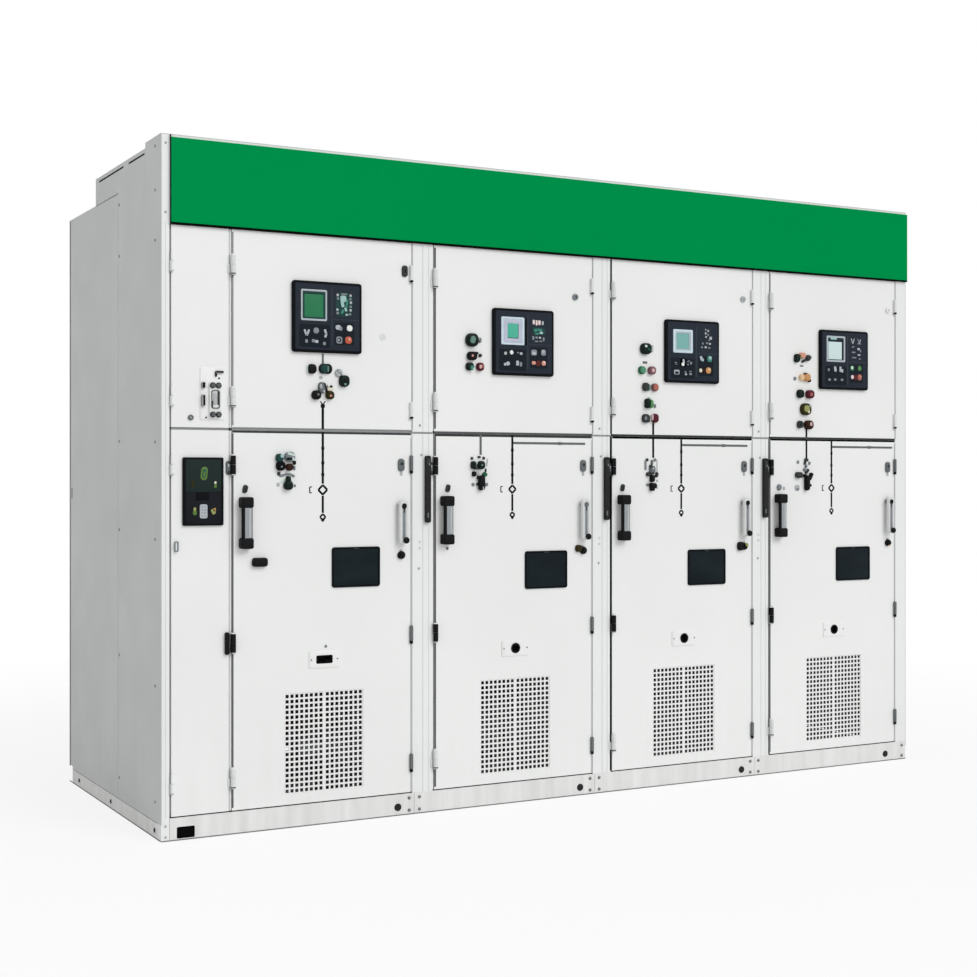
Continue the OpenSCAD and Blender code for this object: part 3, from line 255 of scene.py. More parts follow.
# For each maker: key, then the material's name, colour, and what the maker takes after them
MATERIALS = {
    # The side coat, on the end walls and rear covers, and the roof coat are darker than the door coat: partly their
    # own tone, partly painted shade for faces turned from the light.
    powder_coat: {"door": ("door_coat", 238, 239, 238, 0.4, 0.06), "post": ("post_coat", 236, 237, 237, 0.42, 0.1),
        "plinth": ("plinth_coat", 232, 233, 232, 0.45, 0.3), "side": ("side_coat", 200, 202, 202, 0.48, 0.16),
        "roof": ("roof_coat", 206, 207, 207, 0.5, 0.0), "green": ("fascia_green", 0, 145, 76, 0.45, 0.0, 0.001, 0.0),
        "truck": ("truck_coat", 150, 154, 158, 0.46, 0.0), "edge": ("wall_edge", 150, 152, 152, 0.5, 0.16),
        "joint": ("post_joint", 216, 218, 218, 0.5, 0.1)},
    galvanised: {"zinc": ("zinc_sheet", 196, 199, 202)},
    brushed: {"steel": ("plated_steel", 190, 192, 194, 0.34), "bar": ("handle_bar", 150, 155, 158, 0.3, (60, 60, 1)),
        "copper": ("bus_copper", 190, 116, 74, 0.34, (1, 40, 40), 1.0),
        "side_bolt": ("side_bolt", 150, 152, 152, 0.5, (1, 1, 1), 0.2),
        "bolt": ("bolt_steel", 120, 122, 124, 0.4, (1, 1, 1), 0.9)},
    plastic: {"resin": ("cast_resin", 112, 52, 38, 0.28, 0.25, 500.0, 0.05, 0.3),
        "black": ("black_plastic", 20, 20, 22, 0.45, 0.08),
        "rubber": ("black_rubber", 26, 26, 27, 0.72, 0.25, 600.0, 0.2), "rim": ("relay_rim", 13, 15, 19, 0.55, 0.05),
        "bezel": ("relay_face", 41, 47, 56, 0.5, 0.05), "recess": ("key_recess", 31, 36, 43, 0.6, 0.03),
        "key_pale": ("pale_key", 178, 184, 190, 0.42, 0.1), "key_dim": ("dim_key", 132, 139, 146, 0.42, 0.1),
        # Strips that paint the shade in and beside the door seams
        "shade_dark": ("dark_gasket", 92, 94, 95, 0.85, 0.03, 600.0, 0.2),
        "shade_mid": ("mid_gasket", 146, 148, 149, 0.85, 0.03, 600.0, 0.2),
        "screen_field": ("screen_field", 34, 46, 44, 0.4, 0.05), "ridge": ("relay_ridge", 60, 67, 78, 0.5, 0.08),
        "silver": ("silver_frame", 176, 186, 192, 0.32, 0.25, 900.0, 0.05),
        "ice": ("blue_white_frame", 202, 220, 230, 0.34, 0.25, 900.0, 0.05),
        "lilac": ("lilac_margin", 186, 192, 208, 0.4, 0.25, 900.0, 0.05),
        "pale": ("pale_plate", 214, 216, 215, 0.5, 0.25, 800.0, 0.05), "grey": ("grey_key", 124, 130, 136, 0.42),
        "light_grey": ("light_grey_key", 176, 180, 182, 0.42),
        "mid_grey": ("mid_grey_body", 104, 109, 112, 0.45, 0.1),
        "dark_grey": ("dark_grey_body", 58, 61, 62, 0.5, 0.06), "white_key": ("white_key", 232, 234, 232, 0.35),
        "rose": ("rose_key", 226, 208, 206, 0.38), "mauve": ("mauve_ring", 122, 84, 94, 0.42, 0.1),
        "wine": ("wine_body", 84, 32, 44, 0.42, 0.08), "brown": ("brown_body", 50, 30, 24, 0.45, 0.06),
        "olive": ("olive_body", 52, 46, 24, 0.45, 0.06), "olive_pale": ("olive_pale", 150, 154, 96, 0.42, 0.1),
        "cream": ("cream_cap", 226, 221, 198, 0.45, 0.1), "peach": ("peach_cap", 226, 192, 152, 0.42, 0.1),
        "pink": ("pink_core", 208, 176, 172, 0.4, 0.1), "orange": ("orange_key", 188, 90, 64, 0.38),
        "amber": ("amber_key", 196, 142, 88, 0.38), "coral": ("coral_key", 210, 150, 130, 0.38),
        "brick": ("brick_key", 168, 96, 84, 0.4), "maroon": ("maroon_recess", 92, 44, 42, 0.5, 0.05),
        "teal": ("teal_field", 66, 132, 118, 0.45, 0.08), "teal_dark": ("teal_body", 34, 66, 64, 0.42, 0.08),
        "teal_pale": ("teal_pale_key", 160, 196, 192, 0.42, 0.1), "mint": ("mint_glint", 206, 226, 216, 0.42, 0.1),
        "knob": ("knob_green_black", 8, 26, 20, 0.4, 0.12), "glint": ("knob_face", 104, 138, 126, 0.42, 0.1),
        "green_body": ("green_body", 36, 96, 66, 0.42, 0.1), "green_mid": ("green_mid", 84, 140, 84, 0.42, 0.1),
        "ink": ("mimic_line", 20, 21, 23, 0.6, 0.04, 900.0, 0.04),
        "ink_grey": ("mimic_grey", 104, 107, 108, 0.6, 0.06, 900.0, 0.04),
        # Black gasket that also paints the seams' shade, and grey strips of painted shade
        "seal": ("door_seal", 8, 8, 9, 0.85, 0.02, 600.0, 0.2),
        "seal_grey": ("grey_seal", 192, 193, 194, 0.85, 0.04, 600.0, 0.2),
        "foot": ("foot_shadow_strip", 120, 121, 123, 0.85, 0.04, 600.0, 0.2),
        "hinge": ("hinge_sleeve", 222, 224, 224, 0.5, 0.15), "latch": ("latch_barrel", 104, 108, 110, 0.5, 0.12),
        "hole": ("socket_dark", 10, 10, 11, 0.8, 0.03), "dark_bolt": ("bolt_black", 44, 45, 47, 0.5, 0.08),
        "terminal": ("terminal_grey", 150, 153, 156, 0.5)},
    smoked_pane: {"pane": ("window_pane", 24, 33, 38), "panel": ("display_panel", 26, 28, 33)},
    display: {"lcd_green": ("screen_green", 48, 120, 82, 0.06), "lcd_teal": ("screen_teal", 84, 178, 154, 0.06),
        "lcd_mist": ("screen_mist", 124, 176, 170, 0.06), "lcd_pale": ("screen_pale", 206, 225, 225, 0.04)},
    lens: {"lens_green": ("lens_green", 78, 140, 108), "lens_deep_green": ("lens_deep_green", 20, 78, 62),
        "lens_lime": ("lens_lime", 84, 116, 52)},
}
M = {key: maker(name, srgb(r, g, b), *rest)
     for maker, rows in MATERIALS.items() for key, (name, r, g, b, *rest) in rows.items()}


# ---------------------------------------------------------------- geometry

def put(x, y, z):
    return Vector(((x - TOTAL_W / 2) / 1000, (y - DEPTH / 2) / 1000, z / 1000))


def rounded(w, h, r, inset=0.0, n=6):
    """Outline of a rounded rectangle less an inset all round, as points round its centre."""
    w, h = w - 2 * inset, h - 2 * inset
    r = max(min(r - inset, w / 2 - 0.01, h / 2 - 0.01), 0.01)
    pts = []
    for k, (sx, sz) in enumerate(((1, 1), (-1, 1), (-1, -1), (1, -1))):
        for j in range(n + 1):
            a = math.pi / 2 * (k + j / n)
            pts.append((sx * (w / 2 - r) + r * math.cos(a), sz * (h / 2 - r) + r * math.sin(a)))
    return pts


def circle(r, n):
    return [(r * math.cos(2 * math.pi * k / n), r * math.sin(2 * math.pi * k / n)) for k in range(n)]


def facing(pts, x, y, z, turn=0.0):
    """An outline seen from the front, turned by an angle and set round (x, z) at depth y."""
    c, s = math.cos(turn), math.sin(turn)
    return [(x + c * px - s * pz, y, z + s * px + c * pz) for px, pz in pts]


class Piece:
    """Collects shapes that share a material, then becomes one object that rides on a body."""

    def __init__(self, name, material, body):
        self.name, self.material, self.body = name, material, body
        self.bm = bmesh.new()

    def rings(self, rings, loop=False):
        """Skins a stack of closed outlines, each a list of (x, y, z) in millimetres."""
        rows = [[self.bm.verts.new(put(*p)) for p in ring] for ring in rings]
        pairs = list(zip(rows, rows[1:])) + ([(rows[-1], rows[0])] if loop else [])
        for a, b in pairs:
            for k in range(len(a)):
                self.bm.faces.new((a[k - 1], a[k], b[k], b[k - 1]))
        if not loop:
            self.bm.faces.new(list(reversed(rows[0])))
            self.bm.faces.new(rows[-1])

    def plate(self, x, z, w, h, r, back, front, bevel=1.0, turn=0.0):
        """Rounded plate facing the viewer, its front rim rounded over bevel."""
        steps = [(0, back), (0, front + bevel)]
        steps += [(bevel * (1 - math.cos(a)), front + bevel * (1 - math.sin(a)))
                  for a in (math.pi / 8, math.pi / 4, 3 * math.pi / 8, math.pi / 2)]
        self.rings([facing(rounded(w, h, r, inset), x, y, z, turn) for inset, y in steps])

    def frame(self, x, z, outer, inner, back, front, bevel):
        """Rounded frame: outer and inner are (w, h, r)."""
        steps = [(0, back), (0, front + bevel), (0.3 * bevel, front + 0.3 * bevel), (bevel, front)]
        self.rings([facing(rounded(*outer, inset), x, y, z) for inset, y in steps]
                   + [facing(rounded(*inner, -inset), x, y, z) for inset, y in reversed(steps)], loop=True)

    def dome(self, x, z, w, h, r, back, front, turn=0.0):
        """Moulded body: a round-cornered outline that draws in towards its domed face."""
        self.rings([facing(rounded(w * k, h * k, r * k), x, back + (front - back) * t, z, turn)
                    for k, t in ((1.0, 0.0), (1.0, 0.5), (0.97, 0.72), (0.88, 0.88), (0.72, 0.97), (0.45, 1.0))])

    def lathe(self, x, z, profile, seg=40):
        """Turned shape about the line through (x, z): profile is (radius, y) from the back to the tip."""
        self.rings([facing(circle(max(r, 0.02), seg), x, y, z) for r, y in profile])

    def column(self, outline, z0, z1):
        """Upright prism: outline is (x, y) points."""
        self.rings([[(px, py, z) for px, py in outline] for z in (z0, z1)])

    def box(self, x0, x1, y0, y1, z0, z1):
        self.column([(x0, y0), (x1, y0), (x1, y1), (x0, y1)], z0, z1)

    def strip(self, x0, z0, x1, z1, width):
        """Thin straight line on a face."""
        self.plate((x0 + x1) / 2, (z0 + z1) / 2, math.hypot(x1 - x0, z1 - z0), width, 0.4, 0.0, -0.6, 0.2,
                   math.atan2(z1 - z0, x1 - x0))

    def done(self, *stands_for):
        mesh = bpy.data.meshes.new(self.name)
        bmesh.ops.recalc_face_normals(self.bm, faces=self.bm.faces)
        self.bm.to_mesh(mesh)
        self.bm.free()
        obj = bpy.data.objects.new(self.name, mesh)
        bpy.context.scene.collection.objects.link(obj)
        mesh.materials.append(M[self.material])
        mesh.shade_smooth()
        mesh.set_sharp_from_angle(angle=EDGE_ANGLE)
        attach(obj, self.body)
        if stands_for:
            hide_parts(*stands_for)


class Kit:
    """Pieces that ride on one body, one for each material, started when first asked for."""

    def __init__(self, tag, body):
        self.tag, self.body, self.pieces = tag, body, {}

    def __getitem__(self, material):
        if material not in self.pieces:
            self.pieces[material] = Piece(f"{self.tag}_{material}", material, self.body)
        return self.pieces[material]

    def moulded(self, material, x, z, w, h, top, turn=0, foot=0):
        """Shape that stands out from the face, from foot to top: thin ones are tags, the rest are domed."""
        if top - foot <= 2:
            self[material].plate(x, z, w, h, min(w, h) * 0.3, -foot, -top, 0.3, math.radians(turn))
        else:
            self[material].dome(x, z, w, h, min(w, h) * 0.42, -foot, -top, math.radians(turn))

    def plates(self, x, z, *rows):
        """Plates set out from a point: material, x and z from there, then what Piece.plate takes."""
        for material, px, pz, *rest in rows:
            self[material].plate(x + px, z + pz, *rest)

    def done(self, **stands_for):
        """Gives, for a material, the CAD node that its piece replaces."""
        for material, piece in self.pieces.items():
            piece.done(*([stands_for[material]] if material in stands_for else []))


# ---------------------------------------------------------------- finishes of the CAD nodes

FINISH = {
    "plinth": ["base_frame"], "side": ["end_walls", "rear_covers"], "post": ["frame_posts"],
    "green": ["header_panel"], "roof": ["roof_covers"], "copper": ["busbars", "feeder_bars", "earth_bar"],
    "resin": ["insulators", "current_transformers"], "steel": ["hinge_pins"], "rubber": ["pillar_strips"],
    "terminal": ["terminal_rows"], "truck": [f"truck_{i}" for i in CUBICLES],
    "zinc": ["inner_walls", "truck_rails"] + [f"shutter_{i}" for i in CUBICLES],
    "door": ["end_door_upper", "end_door_lower"] + [
        f"{kind}_{i}" for kind in ("upper_door", "lower_door", "vent") for i in CUBICLES],
}
for finish, names in FINISH.items():
    for obj in [nodes[name] for name in names]:
        if not obj.material_slots:
            obj.data.materials.append(M[finish])
        for s in obj.material_slots:
            s.material = M[finish]


# ---------------------------------------------------------------- fittings

# Small shapes on the upper doors, for each material: x from the door's left edge, z up from the seam, width,
# height, how far the top stands out, turn in degrees, and how far the foot does
# Among these shapes, the glint ones and the small lighter centres set on lamps and knobs, such as the pink ones on
# the red lamps, are painted highlights.
UPPER_SHAPES = {
    1: {"black": [(283, 209, 31, 33, 16), (334, 211, 48, 34, 9), (332, 147, 7, 34, 13, 18), (299, 121, 32, 32, 17),
        (402, 171, 12, 12, 18.2, 0, 14)], "mint": [(268, 209, 5, 26, 8)], "teal_dark": [(327, 211, 28, 28, 17, 0, 8)],
        "glint": [(338, 210, 6, 20, 18.4, 0, 13), (402, 160, 11, 8, 18, 0, 12)], "light_grey": [(318, 181, 12, 10, 1),
        (314, 150, 9, 16, 14, 10, 9), (325, 134, 8, 10, 14, 0, 9), (383, 199, 27, 25, 9, 30)],
        "ink_grey": [(325, 245, 7, 36, 1)], "mid_grey": [(320, 146, 25, 38, 12)],
        "grey": [(302, 122, 7, 8, 18, 0, 14), (379, 203, 5, 15, 10, 35, 6), (388, 196, 5, 13, 10, 35, 6)],
        "olive": [(349, 121, 29, 28, 17)], "coral": [(348, 119, 9, 7, 18, 0, 14)], "cream": [(349, 141, 24, 12, 12)],
        "white_key": [(344, 153, 8, 9, 8)], "dark_grey": [(355, 151, 8, 8, 9)], "knob": [(402, 171, 36, 40, 17)]},
    2: {"knob": [(149, 333, 49, 48, 18), (140, 238, 30, 29, 15)], "glint": [(147, 333, 21, 27, 20, -15, 14)],
        "black": [(162, 335, 6, 9, 19.5, 0, 14), (149, 276, 38, 31, 17), (164, 286, 18, 10, 14)],
        "grey": [(184, 334, 8, 18, 7)], "light_grey": [(175, 337, 8, 11, 9)], "coral": [(146, 276, 9, 9, 18, 0, 14)],
        "dark_grey": [(184, 279, 12, 12, 8)], "teal": [(146, 233, 17, 17, 17, 0, 10)],
        "mint": [(151, 229, 9, 9, 17.6, 0, 12)], "wine": [(182, 238, 28, 30, 16)],
        "pink": [(179, 238, 11, 14, 17.4, 0, 12)], "brick": [(188, 240, 6, 14, 17, 0, 12)]},
    3: {"knob": [(149, 331, 47, 43, 18), (157, 123, 22, 37, 18)], "mint": [(143, 340, 11, 10, 19, 0, 14),
        (168, 142, 14, 11, 13)], "green_body": [(158, 328, 15, 7, 19.5, -30, 14), (133, 249, 31, 30, 11)],
        "light_grey": [(180, 343, 12, 6, 6), (180, 333, 12, 6, 6), (180, 323, 12, 6, 6)],
        "mid_grey": [(149, 279, 21, 9, 1)], "lens_green": [(133, 249, 24, 23, 17, 0, 9)],
        "mauve": [(177, 249, 32, 31, 16), (192, 185, 30, 30, 12)], "pink": [(177, 249, 14, 15, 17.6, 0, 12)],
        "dark_grey": [(149, 186, 26, 32, 15), (149, 66, 30, 33, 16)], "glint": [(163, 184, 14, 26, 11)],
        "brick": [(191, 185, 22, 25, 17, 0, 10)], "green_mid": [(171, 121, 17, 32, 17.5)],
        "grey": [(194, 114, 9, 15, 5), (143, 66, 10, 14, 17.4, 0, 12)], "black": [(161, 64, 9, 28, 13)],
        "wine": [(191, 67, 28, 34, 16)], "rose": [(178, 70, 6, 22, 14)]},
    4: {"knob": [(134, 322, 24, 34, 15), (151, 179, 32, 34, 16), (146, 56, 12, 18, 17, 0, 10)],
        "coral": [(161, 334, 30, 23, 15)], "olive_pale": [(149, 327, 8, 12, 15.6), (177, 119, 28, 27, 18.5, 0, 12)],
        "dark_grey": [(172, 313, 24, 9, 10, 25), (192, 325, 22, 24, 13, -30), (150, 55, 26, 30, 16)],
        "light_grey": [(206, 329, 12, 12, 8), (196, 130, 14, 10, 17, -30, 8)], "grey": [(162, 292, 18, 7, 1),
        (127, 240, 13, 14, 5)], "peach": [(159, 245, 24, 25, 13)], "amber": [(183, 246, 32, 31, 17)],
        "black": [(197, 236, 9, 18, 13, 20)], "brown": [(178, 260, 13, 8, 14), (194, 54, 42, 36, 17)],
        "glint": [(164, 177, 8, 20, 12)], "wine": [(200, 178, 39, 34, 17)], "brick": [(200, 177, 15, 14, 18, 0, 13)],
        "olive": [(179, 117, 52, 48, 16)], "cream": [(186, 107, 9, 13, 18.8, 0, 12)],
        "pink": [(198, 57, 13, 16, 18.4, 0, 13)]},
}
# The same for the lower doors, with z down from the seam
# Here too the glint shapes and the small lighter centres set on knobs are painted highlights.
LOWER_SHAPES = {
    1: {"teal_dark": [(166, 94, 25, 28, 15)], "teal_pale": [(172, 88, 13, 13, 16, 0, 9)],
        "grey": [(203, 90, 36, 33, 16), (170, 124, 7, 7, 17, 0, 12), (221, 128, 6, 15, 6), (177, 153, 20, 8, 4, 12),
        (198, 149, 24, 7, 4), (215, 153, 16, 8, 4, -25)], "mint": [(205, 82, 28, 8, 17, -15, 9),
        (212, 97, 7, 12, 17, 20, 9), (182, 169, 6, 27, 2.5, -42), (210, 169, 6, 22, 2.5, 38)],
        "knob": [(198, 97, 20, 10, 17.6, 0, 12), (197, 187, 31, 30, 20), (197, 169, 15, 28, 18)],
        "rim": [(170, 121, 31, 32, 16)], "brown": [(201, 125, 25, 24, 16)], "black": [(220, 110, 10, 14, 10)],
        "dark_grey": [(165, 147, 11, 13, 5)], "light_grey": [(163, 184, 11, 13, 1)],
        "mid_grey": [(223, 188, 7, 9, 1)]},
    2: {"dark_grey": [(151, 91, 10, 10, 5), (180, 86, 12, 8, 5), (199, 90, 10, 10, 5), (168, 127, 22, 8, 9),
        (207, 134, 6, 14, 4)], "knob": [(155, 115, 18, 28, 15), (186, 115, 27, 30, 17)],
        "mint": [(167, 108, 12, 15, 4)], "glint": [(185, 115, 8, 7, 17.8, 0, 12)],
        "light_grey": [(213, 106, 5, 28, 1.5, -8), (174, 145, 14, 14, 5), (188, 198, 5, 12, 20.6, 0, 14)],
        "black": [(158, 147, 14, 19, 12), (187, 179, 22, 54, 20), (174, 184, 11, 9, 10), (177, 160, 13, 14, 14)],
        "green_body": [(201, 149, 17, 17, 13, 45)], "grey": [(156, 185, 12, 13, 3), (211, 185, 12, 13, 3)]},
    3: {"dark_grey": [(158, 92, 12, 11, 5), (161, 147, 15, 16, 10), (201, 149, 11, 20, 9, -15),
        (173, 118, 9, 14, 13, 20), (179, 143, 14, 10, 13.4)], "grey": [(151, 112, 8, 38, 4), (194, 92, 11, 12, 5),
        (160, 187, 12, 12, 3)], "light_grey": [(205, 117, 4, 50, 1.5), (180, 125, 9, 9, 14, 0, 8),
        (205, 172, 8, 9, 1), (205, 198, 8, 9, 1)], "mid_grey": [(180, 102, 8, 20, 6), (180, 130, 24, 31, 13)],
        "black": [(178, 163, 16, 28, 17), (181, 191, 28, 22, 20), (178, 203, 17, 16, 17)]},
    4: {"dark_grey": [(184, 88, 18, 13, 9), (177, 99, 7, 18, 8, -12), (188, 134, 10, 24, 9, -42),
        (144, 149, 33, 24, 16)], "white_key": [(188, 101, 12, 12, 5)], "grey": [(200, 101, 10, 13, 7),
        (177, 127, 16, 12, 9), (143, 97, 12, 14, 3), (139, 206, 12, 9, 4, 0, 2.5)],
        "mid_grey": [(183, 114, 10, 11, 7)], "black": [(203, 155, 12, 33, 15, -28), (184, 181, 18, 62, 20),
        (199, 191, 16, 11, 12), (175, 152, 14, 13, 14)], "light_grey": [(139, 201, 25, 25, 3)]},
}
# Places on a door: x from its left edge, and z up or down from the seam
UPPER_LOCK = {1: (DOOR_W - 26, 563), 2: (DOOR_W - 74, 511), 3: (DOOR_W - 45, 545), 4: (DOOR_W - 38, 540)}
RELAY = {1: (338, 386), 2: (360, 332), 3: (364, 327), 4: (377, 322)}
WINDOW = {1: (448, 468), 2: (460, 498), 3: (438, 508), 4: (431, 513)}
# Relay fronts: frame, margin and screen as (material, x, z, w, h) from the relay's centre, then the marks
# and keys for each material as (x, z, w, h, top, turn)
RELAY_SCREEN = {
    1: (("silver", -51, 39, 95, 106), ("teal_dark", -51, 38, 84, 94), ("lcd_green", -51, 36, 70, 80)),
    2: (("ice", -48, 40, 96, 101), ("lilac", -47, 40, 78, 88), ("lcd_teal", -49, 43, 47, 55)),
    3: (("ice", -48, 39, 92, 90), ("silver", -49, 39, 72, 72), ("lcd_mist", -50, 38, 60, 61)),
    4: (("silver", -48, 44, 98, 106), ("bezel", -50, 40, 84, 92), ("lcd_pale", -54, 34, 76, 78)),
}
# On the round keys, the small lighter shape set a little off the centre is a painted highlight.
RELAY_KEYS = {
    1: {"teal_dark": [(60, 46, 62, 82, 14)], "key_pale": [(36, 78, 8, 9), (35, 28, 8, 8), (84, 78, 8, 8),
        (85, 54, 8, 9), (84, 28, 8, 8), (70, 12, 10, 6), (-82, -55, 7, 22, 15.4, 22), (-73, -55, 7, 22, 15.4, -22),
        (-9, -50, 8, 18, 15.4, 20), (-8, -62, 8, 15, 15.4, -20), (-41, -84, 12, 10), (38, -33, 20, 17, 16),
        (40, -76, 5, 9, 16)], "key_dim": [(37, 66, 8, 8), (36, 16, 9, 8), (83, 66, 7, 8), (84, 40, 8, 8),
        (82, 14, 8, 7), (60, 82, 22, 5), (-43, -47, 20, 20, 16), (-78, -84, 10, 12), (-53, -82, 12, 11),
        (-13, -90, 11, 11), (47, -37, 12, 14, 16.4), (42, -76, 22, 24, 15)], "teal_pale": [(57, 66, 22, 22),
        (54, 48, 11, 22, 14.8, 12), (66, 30, 8, 14, 14.8, 20)], "teal": [(70, 50, 7, 30, 14.8, -10),
        (54, 22, 9, 16, 14.8, -25)], "white_key": [(80, -34, 21, 21, 17)], "bezel": [(42, -76, 14, 15, 15.6)],
        "orange": [(76, -75, 25, 25, 16.6)], "coral": [(79, -72, 10, 11, 17.4)]},
    2: {"rim": [(8, 40, 4, 98, 16.2)], "rose": [(40, 76, 9, 16), (52, 74, 8, 19), (64, 75, 10, 17),
        (84, -70, 8, 8, 17.2)], "key_pale": [(78, 74, 8, 14), (66, 20, 9, 7), (-78, -42, 11, 11), (-13, -41, 11, 9),
        (-80, -82, 10, 10), (-68, -79, 14, 14, 15, 20), (-28, -76, 12, 18), (41, -38, 16, 11, 16),
        (80, -31, 12, 12, 16)], "teal_dark": [(62, 44, 54, 26, 14)], "teal": [(48, 46, 14, 12, 14.8, 20),
        (66, 48, 20, 9, 14.8, -10), (55, 34, 18, 7, 14.8, 10)], "teal_pale": [(72, 38, 14, 8)],
        "key_dim": [(38, 18, 8, 14), (52, 20, 10, 8), (82, 15, 7, 14), (52, 6, 14, 5), (70, 7, 12, 5),
        (-26, -38, 8, 5), (-14, -80, 10, 16), (41, -35, 24, 21, 15.4), (81, -34, 20, 22, 15.4)],
        "white_key": [(-53, -38, 14, 15, 15.8, 30)], "coral": [(40, -73, 17, 13, 16), (82, -73, 17, 18, 16.6)],
        "maroon": [(60, -74, 18, 20)]},
    3: {"key_dim": [(60, 88, 7, 8), (72, 69, 7, 8), (76, 48, 7, 5), (66, 36, 9, 7), (46, 34, 7, 8), (42, 19, 9, 7),
        (77, 18, 10, 6), (-82, -44, 12, 3), (-80, -50, 9, 3), (-22, -38, 12, 4, 14.6, 30), (-10, -44, 10, 10),
        (-24, -50, 8, 5), (-36, -79, 9, 5), (-12, -86, 12, 9), (-12, -76, 12, 3)], "key_pale": [(72, 84, 7, 8),
        (60, 74, 7, 9), (62, 60, 8, 7), (84, 56, 12, 12), (80, 34, 10, 7), (60, 20, 10, 8),
        (-45, -38, 9, 16, 15.4, 14), (-77, -81, 25, 18, 14.8), (-34, -88, 10, 7), (39, -24, 12, 19, 16, 25)],
        "rim": [(-47, -44, 28, 34, 14)], "white_key": [(-48, -50, 14, 13, 15.8)], "bezel": [(-77, -83, 17, 10, 15.4)],
        "teal_pale": [(46, -30, 8, 12, 16), (81, -21, 14, 13, 16.4)], "teal": [(79, -25, 23, 24, 15.6)],
        "cream": [(36, -71, 13, 15, 16)], "brown": [(54, -72, 18, 18, 14.6)], "amber": [(73, -70, 24, 24, 16.4)],
        "peach": [(76, -66, 10, 11, 17.2)]},
    4: {"teal_pale": [(-60, 87, 34, 11, 16.6)], "key_pale": [(38, 80, 4, 22, 14.4, 20), (47, 80, 4, 22, 14.4, -20),
        (81, 80, 4, 18, 14.4, -26), (74, 48, 14, 9), (76, 24, 15, 6), (-51, -38, 12, 21, 15.4, 12),
        (-24, -38, 10, 22, 15.4), (-14, -44, 9, 14, 15.4)], "key_dim": [(72, 82, 4, 18, 14.4, 26), (77, 70, 20, 4),
        (44, 56, 14, 5, 14.4, 15), (84, 40, 6, 9), (47, 34, 18, 6), (50, 12, 22, 5), (80, 8, 10, 5),
        (-85, -42, 10, 11), (-81, -82, 13, 9), (-51, -81, 13, 9), (-15, -81, 13, 9)],
        "green_body": [(39, -32, 22, 22, 15.4)], "mint": [(38, -30, 13, 14, 16.2)],
        "green_mid": [(79, -31, 19, 20, 16)], "rose": [(40, -68, 15, 16, 16)], "maroon": [(58, -69, 16, 20)],
        "brick": [(79, -68, 22, 25, 16.4)], "coral": [(82, -65, 9, 10, 17.2)]},
}


def fitted(row, i, shapes):
    """Starts the fittings of one door with its small moulded shapes, set out from its left edge and the seam."""
    kit = Kit(f"{row}_{i}", f"{row}_door_{i}")
    up = 1 if row == "upper" else -1
    for material, places in shapes[i].items():
        for x, z, *rest in places:
            kit.moulded(material, door_x(i) + x, SEAM + up * z, *rest)
    return kit


def latch(kit, i, z, material):
    """Latch barrel over the seam at the free edge of a door, with its dark lower tip."""
    x = door_x(i) + DOOR_W - 1.5
    if z > SEAM:
        barrel, tip = (8, 11, 60, 4, -1, -10, 2.5), (-18, 11.4, 8, 3, -1, -10.4, 1.5)
    else:
        barrel, tip = (5, 11, 54, 4, -1, -10, 2.5), (-26, 10.4, 13, 4, -1, -9.6, 2.5)
    kit.plates(x, z, (material, 0, *barrel), ("black", 0, *tip), (material, -2.5, 0, 5.6, 60, 0.5, 0, -2, 0.2))


def relay(i):
    """Protection relay: rim and face, framed screen, key field, marks and function keys."""
    x, z = door_x(i) + RELAY[i][0], SEAM + RELAY[i][1]
    kit = Kit(f"relay_{i}", f"upper_door_{i}")
    kit.plates(x, z, ("rim", 0, 0, 254, 242, 10, 0, -13, 3), ("rim", 0, 0, 224, 212, 3, 110, -0.5, 0.3),
               ("bezel", 0, 0, 236, 224, 6, -12.6, -13.7, 0.4), ("ridge", 15, 0, 3.2, 196, 1.4, -13.4, -14.4, 0.5),
               ("ridge", 68, -6, 96, 2, 0.9, -13.4, -14.2, 0.4), ("recess", -48, -65, 112, 78, 6, -13.4, -14.0, 0.3),
               ("recess", 62, -54, 72, 76, 6, -13.4, -13.9, 0.2))
    (fm, fx, fz, fw, fh), (mm, mx, mz, mw, mh), (sm, sx, sz, sw, sh) = RELAY_SCREEN[i]
    kit[fm].frame(x + fx, z + fz, (fw, fh, 5), (mw - 1, mh - 1, 2), -12, -16, 1.2)
    kit[mm].frame(x + mx, z + mz, (mw, mh, 2), (sw - 1, sh - 1, 1.5), -12.5, -14.8, 0.4)
    kit[sm].plate(x + sx, z + sz, sw, sh, 1.5, -12.5, -14, 0.2)
    for material, places in RELAY_KEYS[i].items():
        for kx, kz, w, h, *rest in places:
            kit.moulded(material, x + kx, z + kz, w, h, *(rest or [KEY_TOP]), foot=KEY_FOOT)
    kit.done(rim=f"relay_{i}")


def upper_fittings(i):
    """Instrument door: its controls, lock, latches and relay."""
    kit = fitted("upper", i, UPPER_SHAPES)
    x, z = door_x(i) + UPPER_LOCK[i][0], SEAM + UPPER_LOCK[i][1]
    if i == 1:
        kit["hinge"].lathe(door_x(i) + 550, SEAM + 329, [(12, 0), (12, -1), (10.5, -1.4), (9, -0.9), (0, -0.7)], 28)
        kit["dark_grey"].dome(x, z, 21, 40, 9, 0, -8)
        kit["black"].plate(x, z, 4, 14, 1.6, -6, -8.4, 0.2)
    else:
        disc, slot = {2: ("grey", "dark_grey"), 3: ("light_grey", "grey"), 4: ("door", "light_grey")}[i]
        kit[disc].lathe(x, z, [(12, 0), (12, -4), (11, -6.6), (8.6, -7.8), (0, -8)])
        kit[slot].plate(x, z, 5, 11, 2, -7, -8.4, 0.1)
    for height in (SEAM + 68, HEADER_Z - 120):
        latch(kit, i, height, "hinge")
    kit.done(black=f"upper_controls_{i}")
    relay(i)


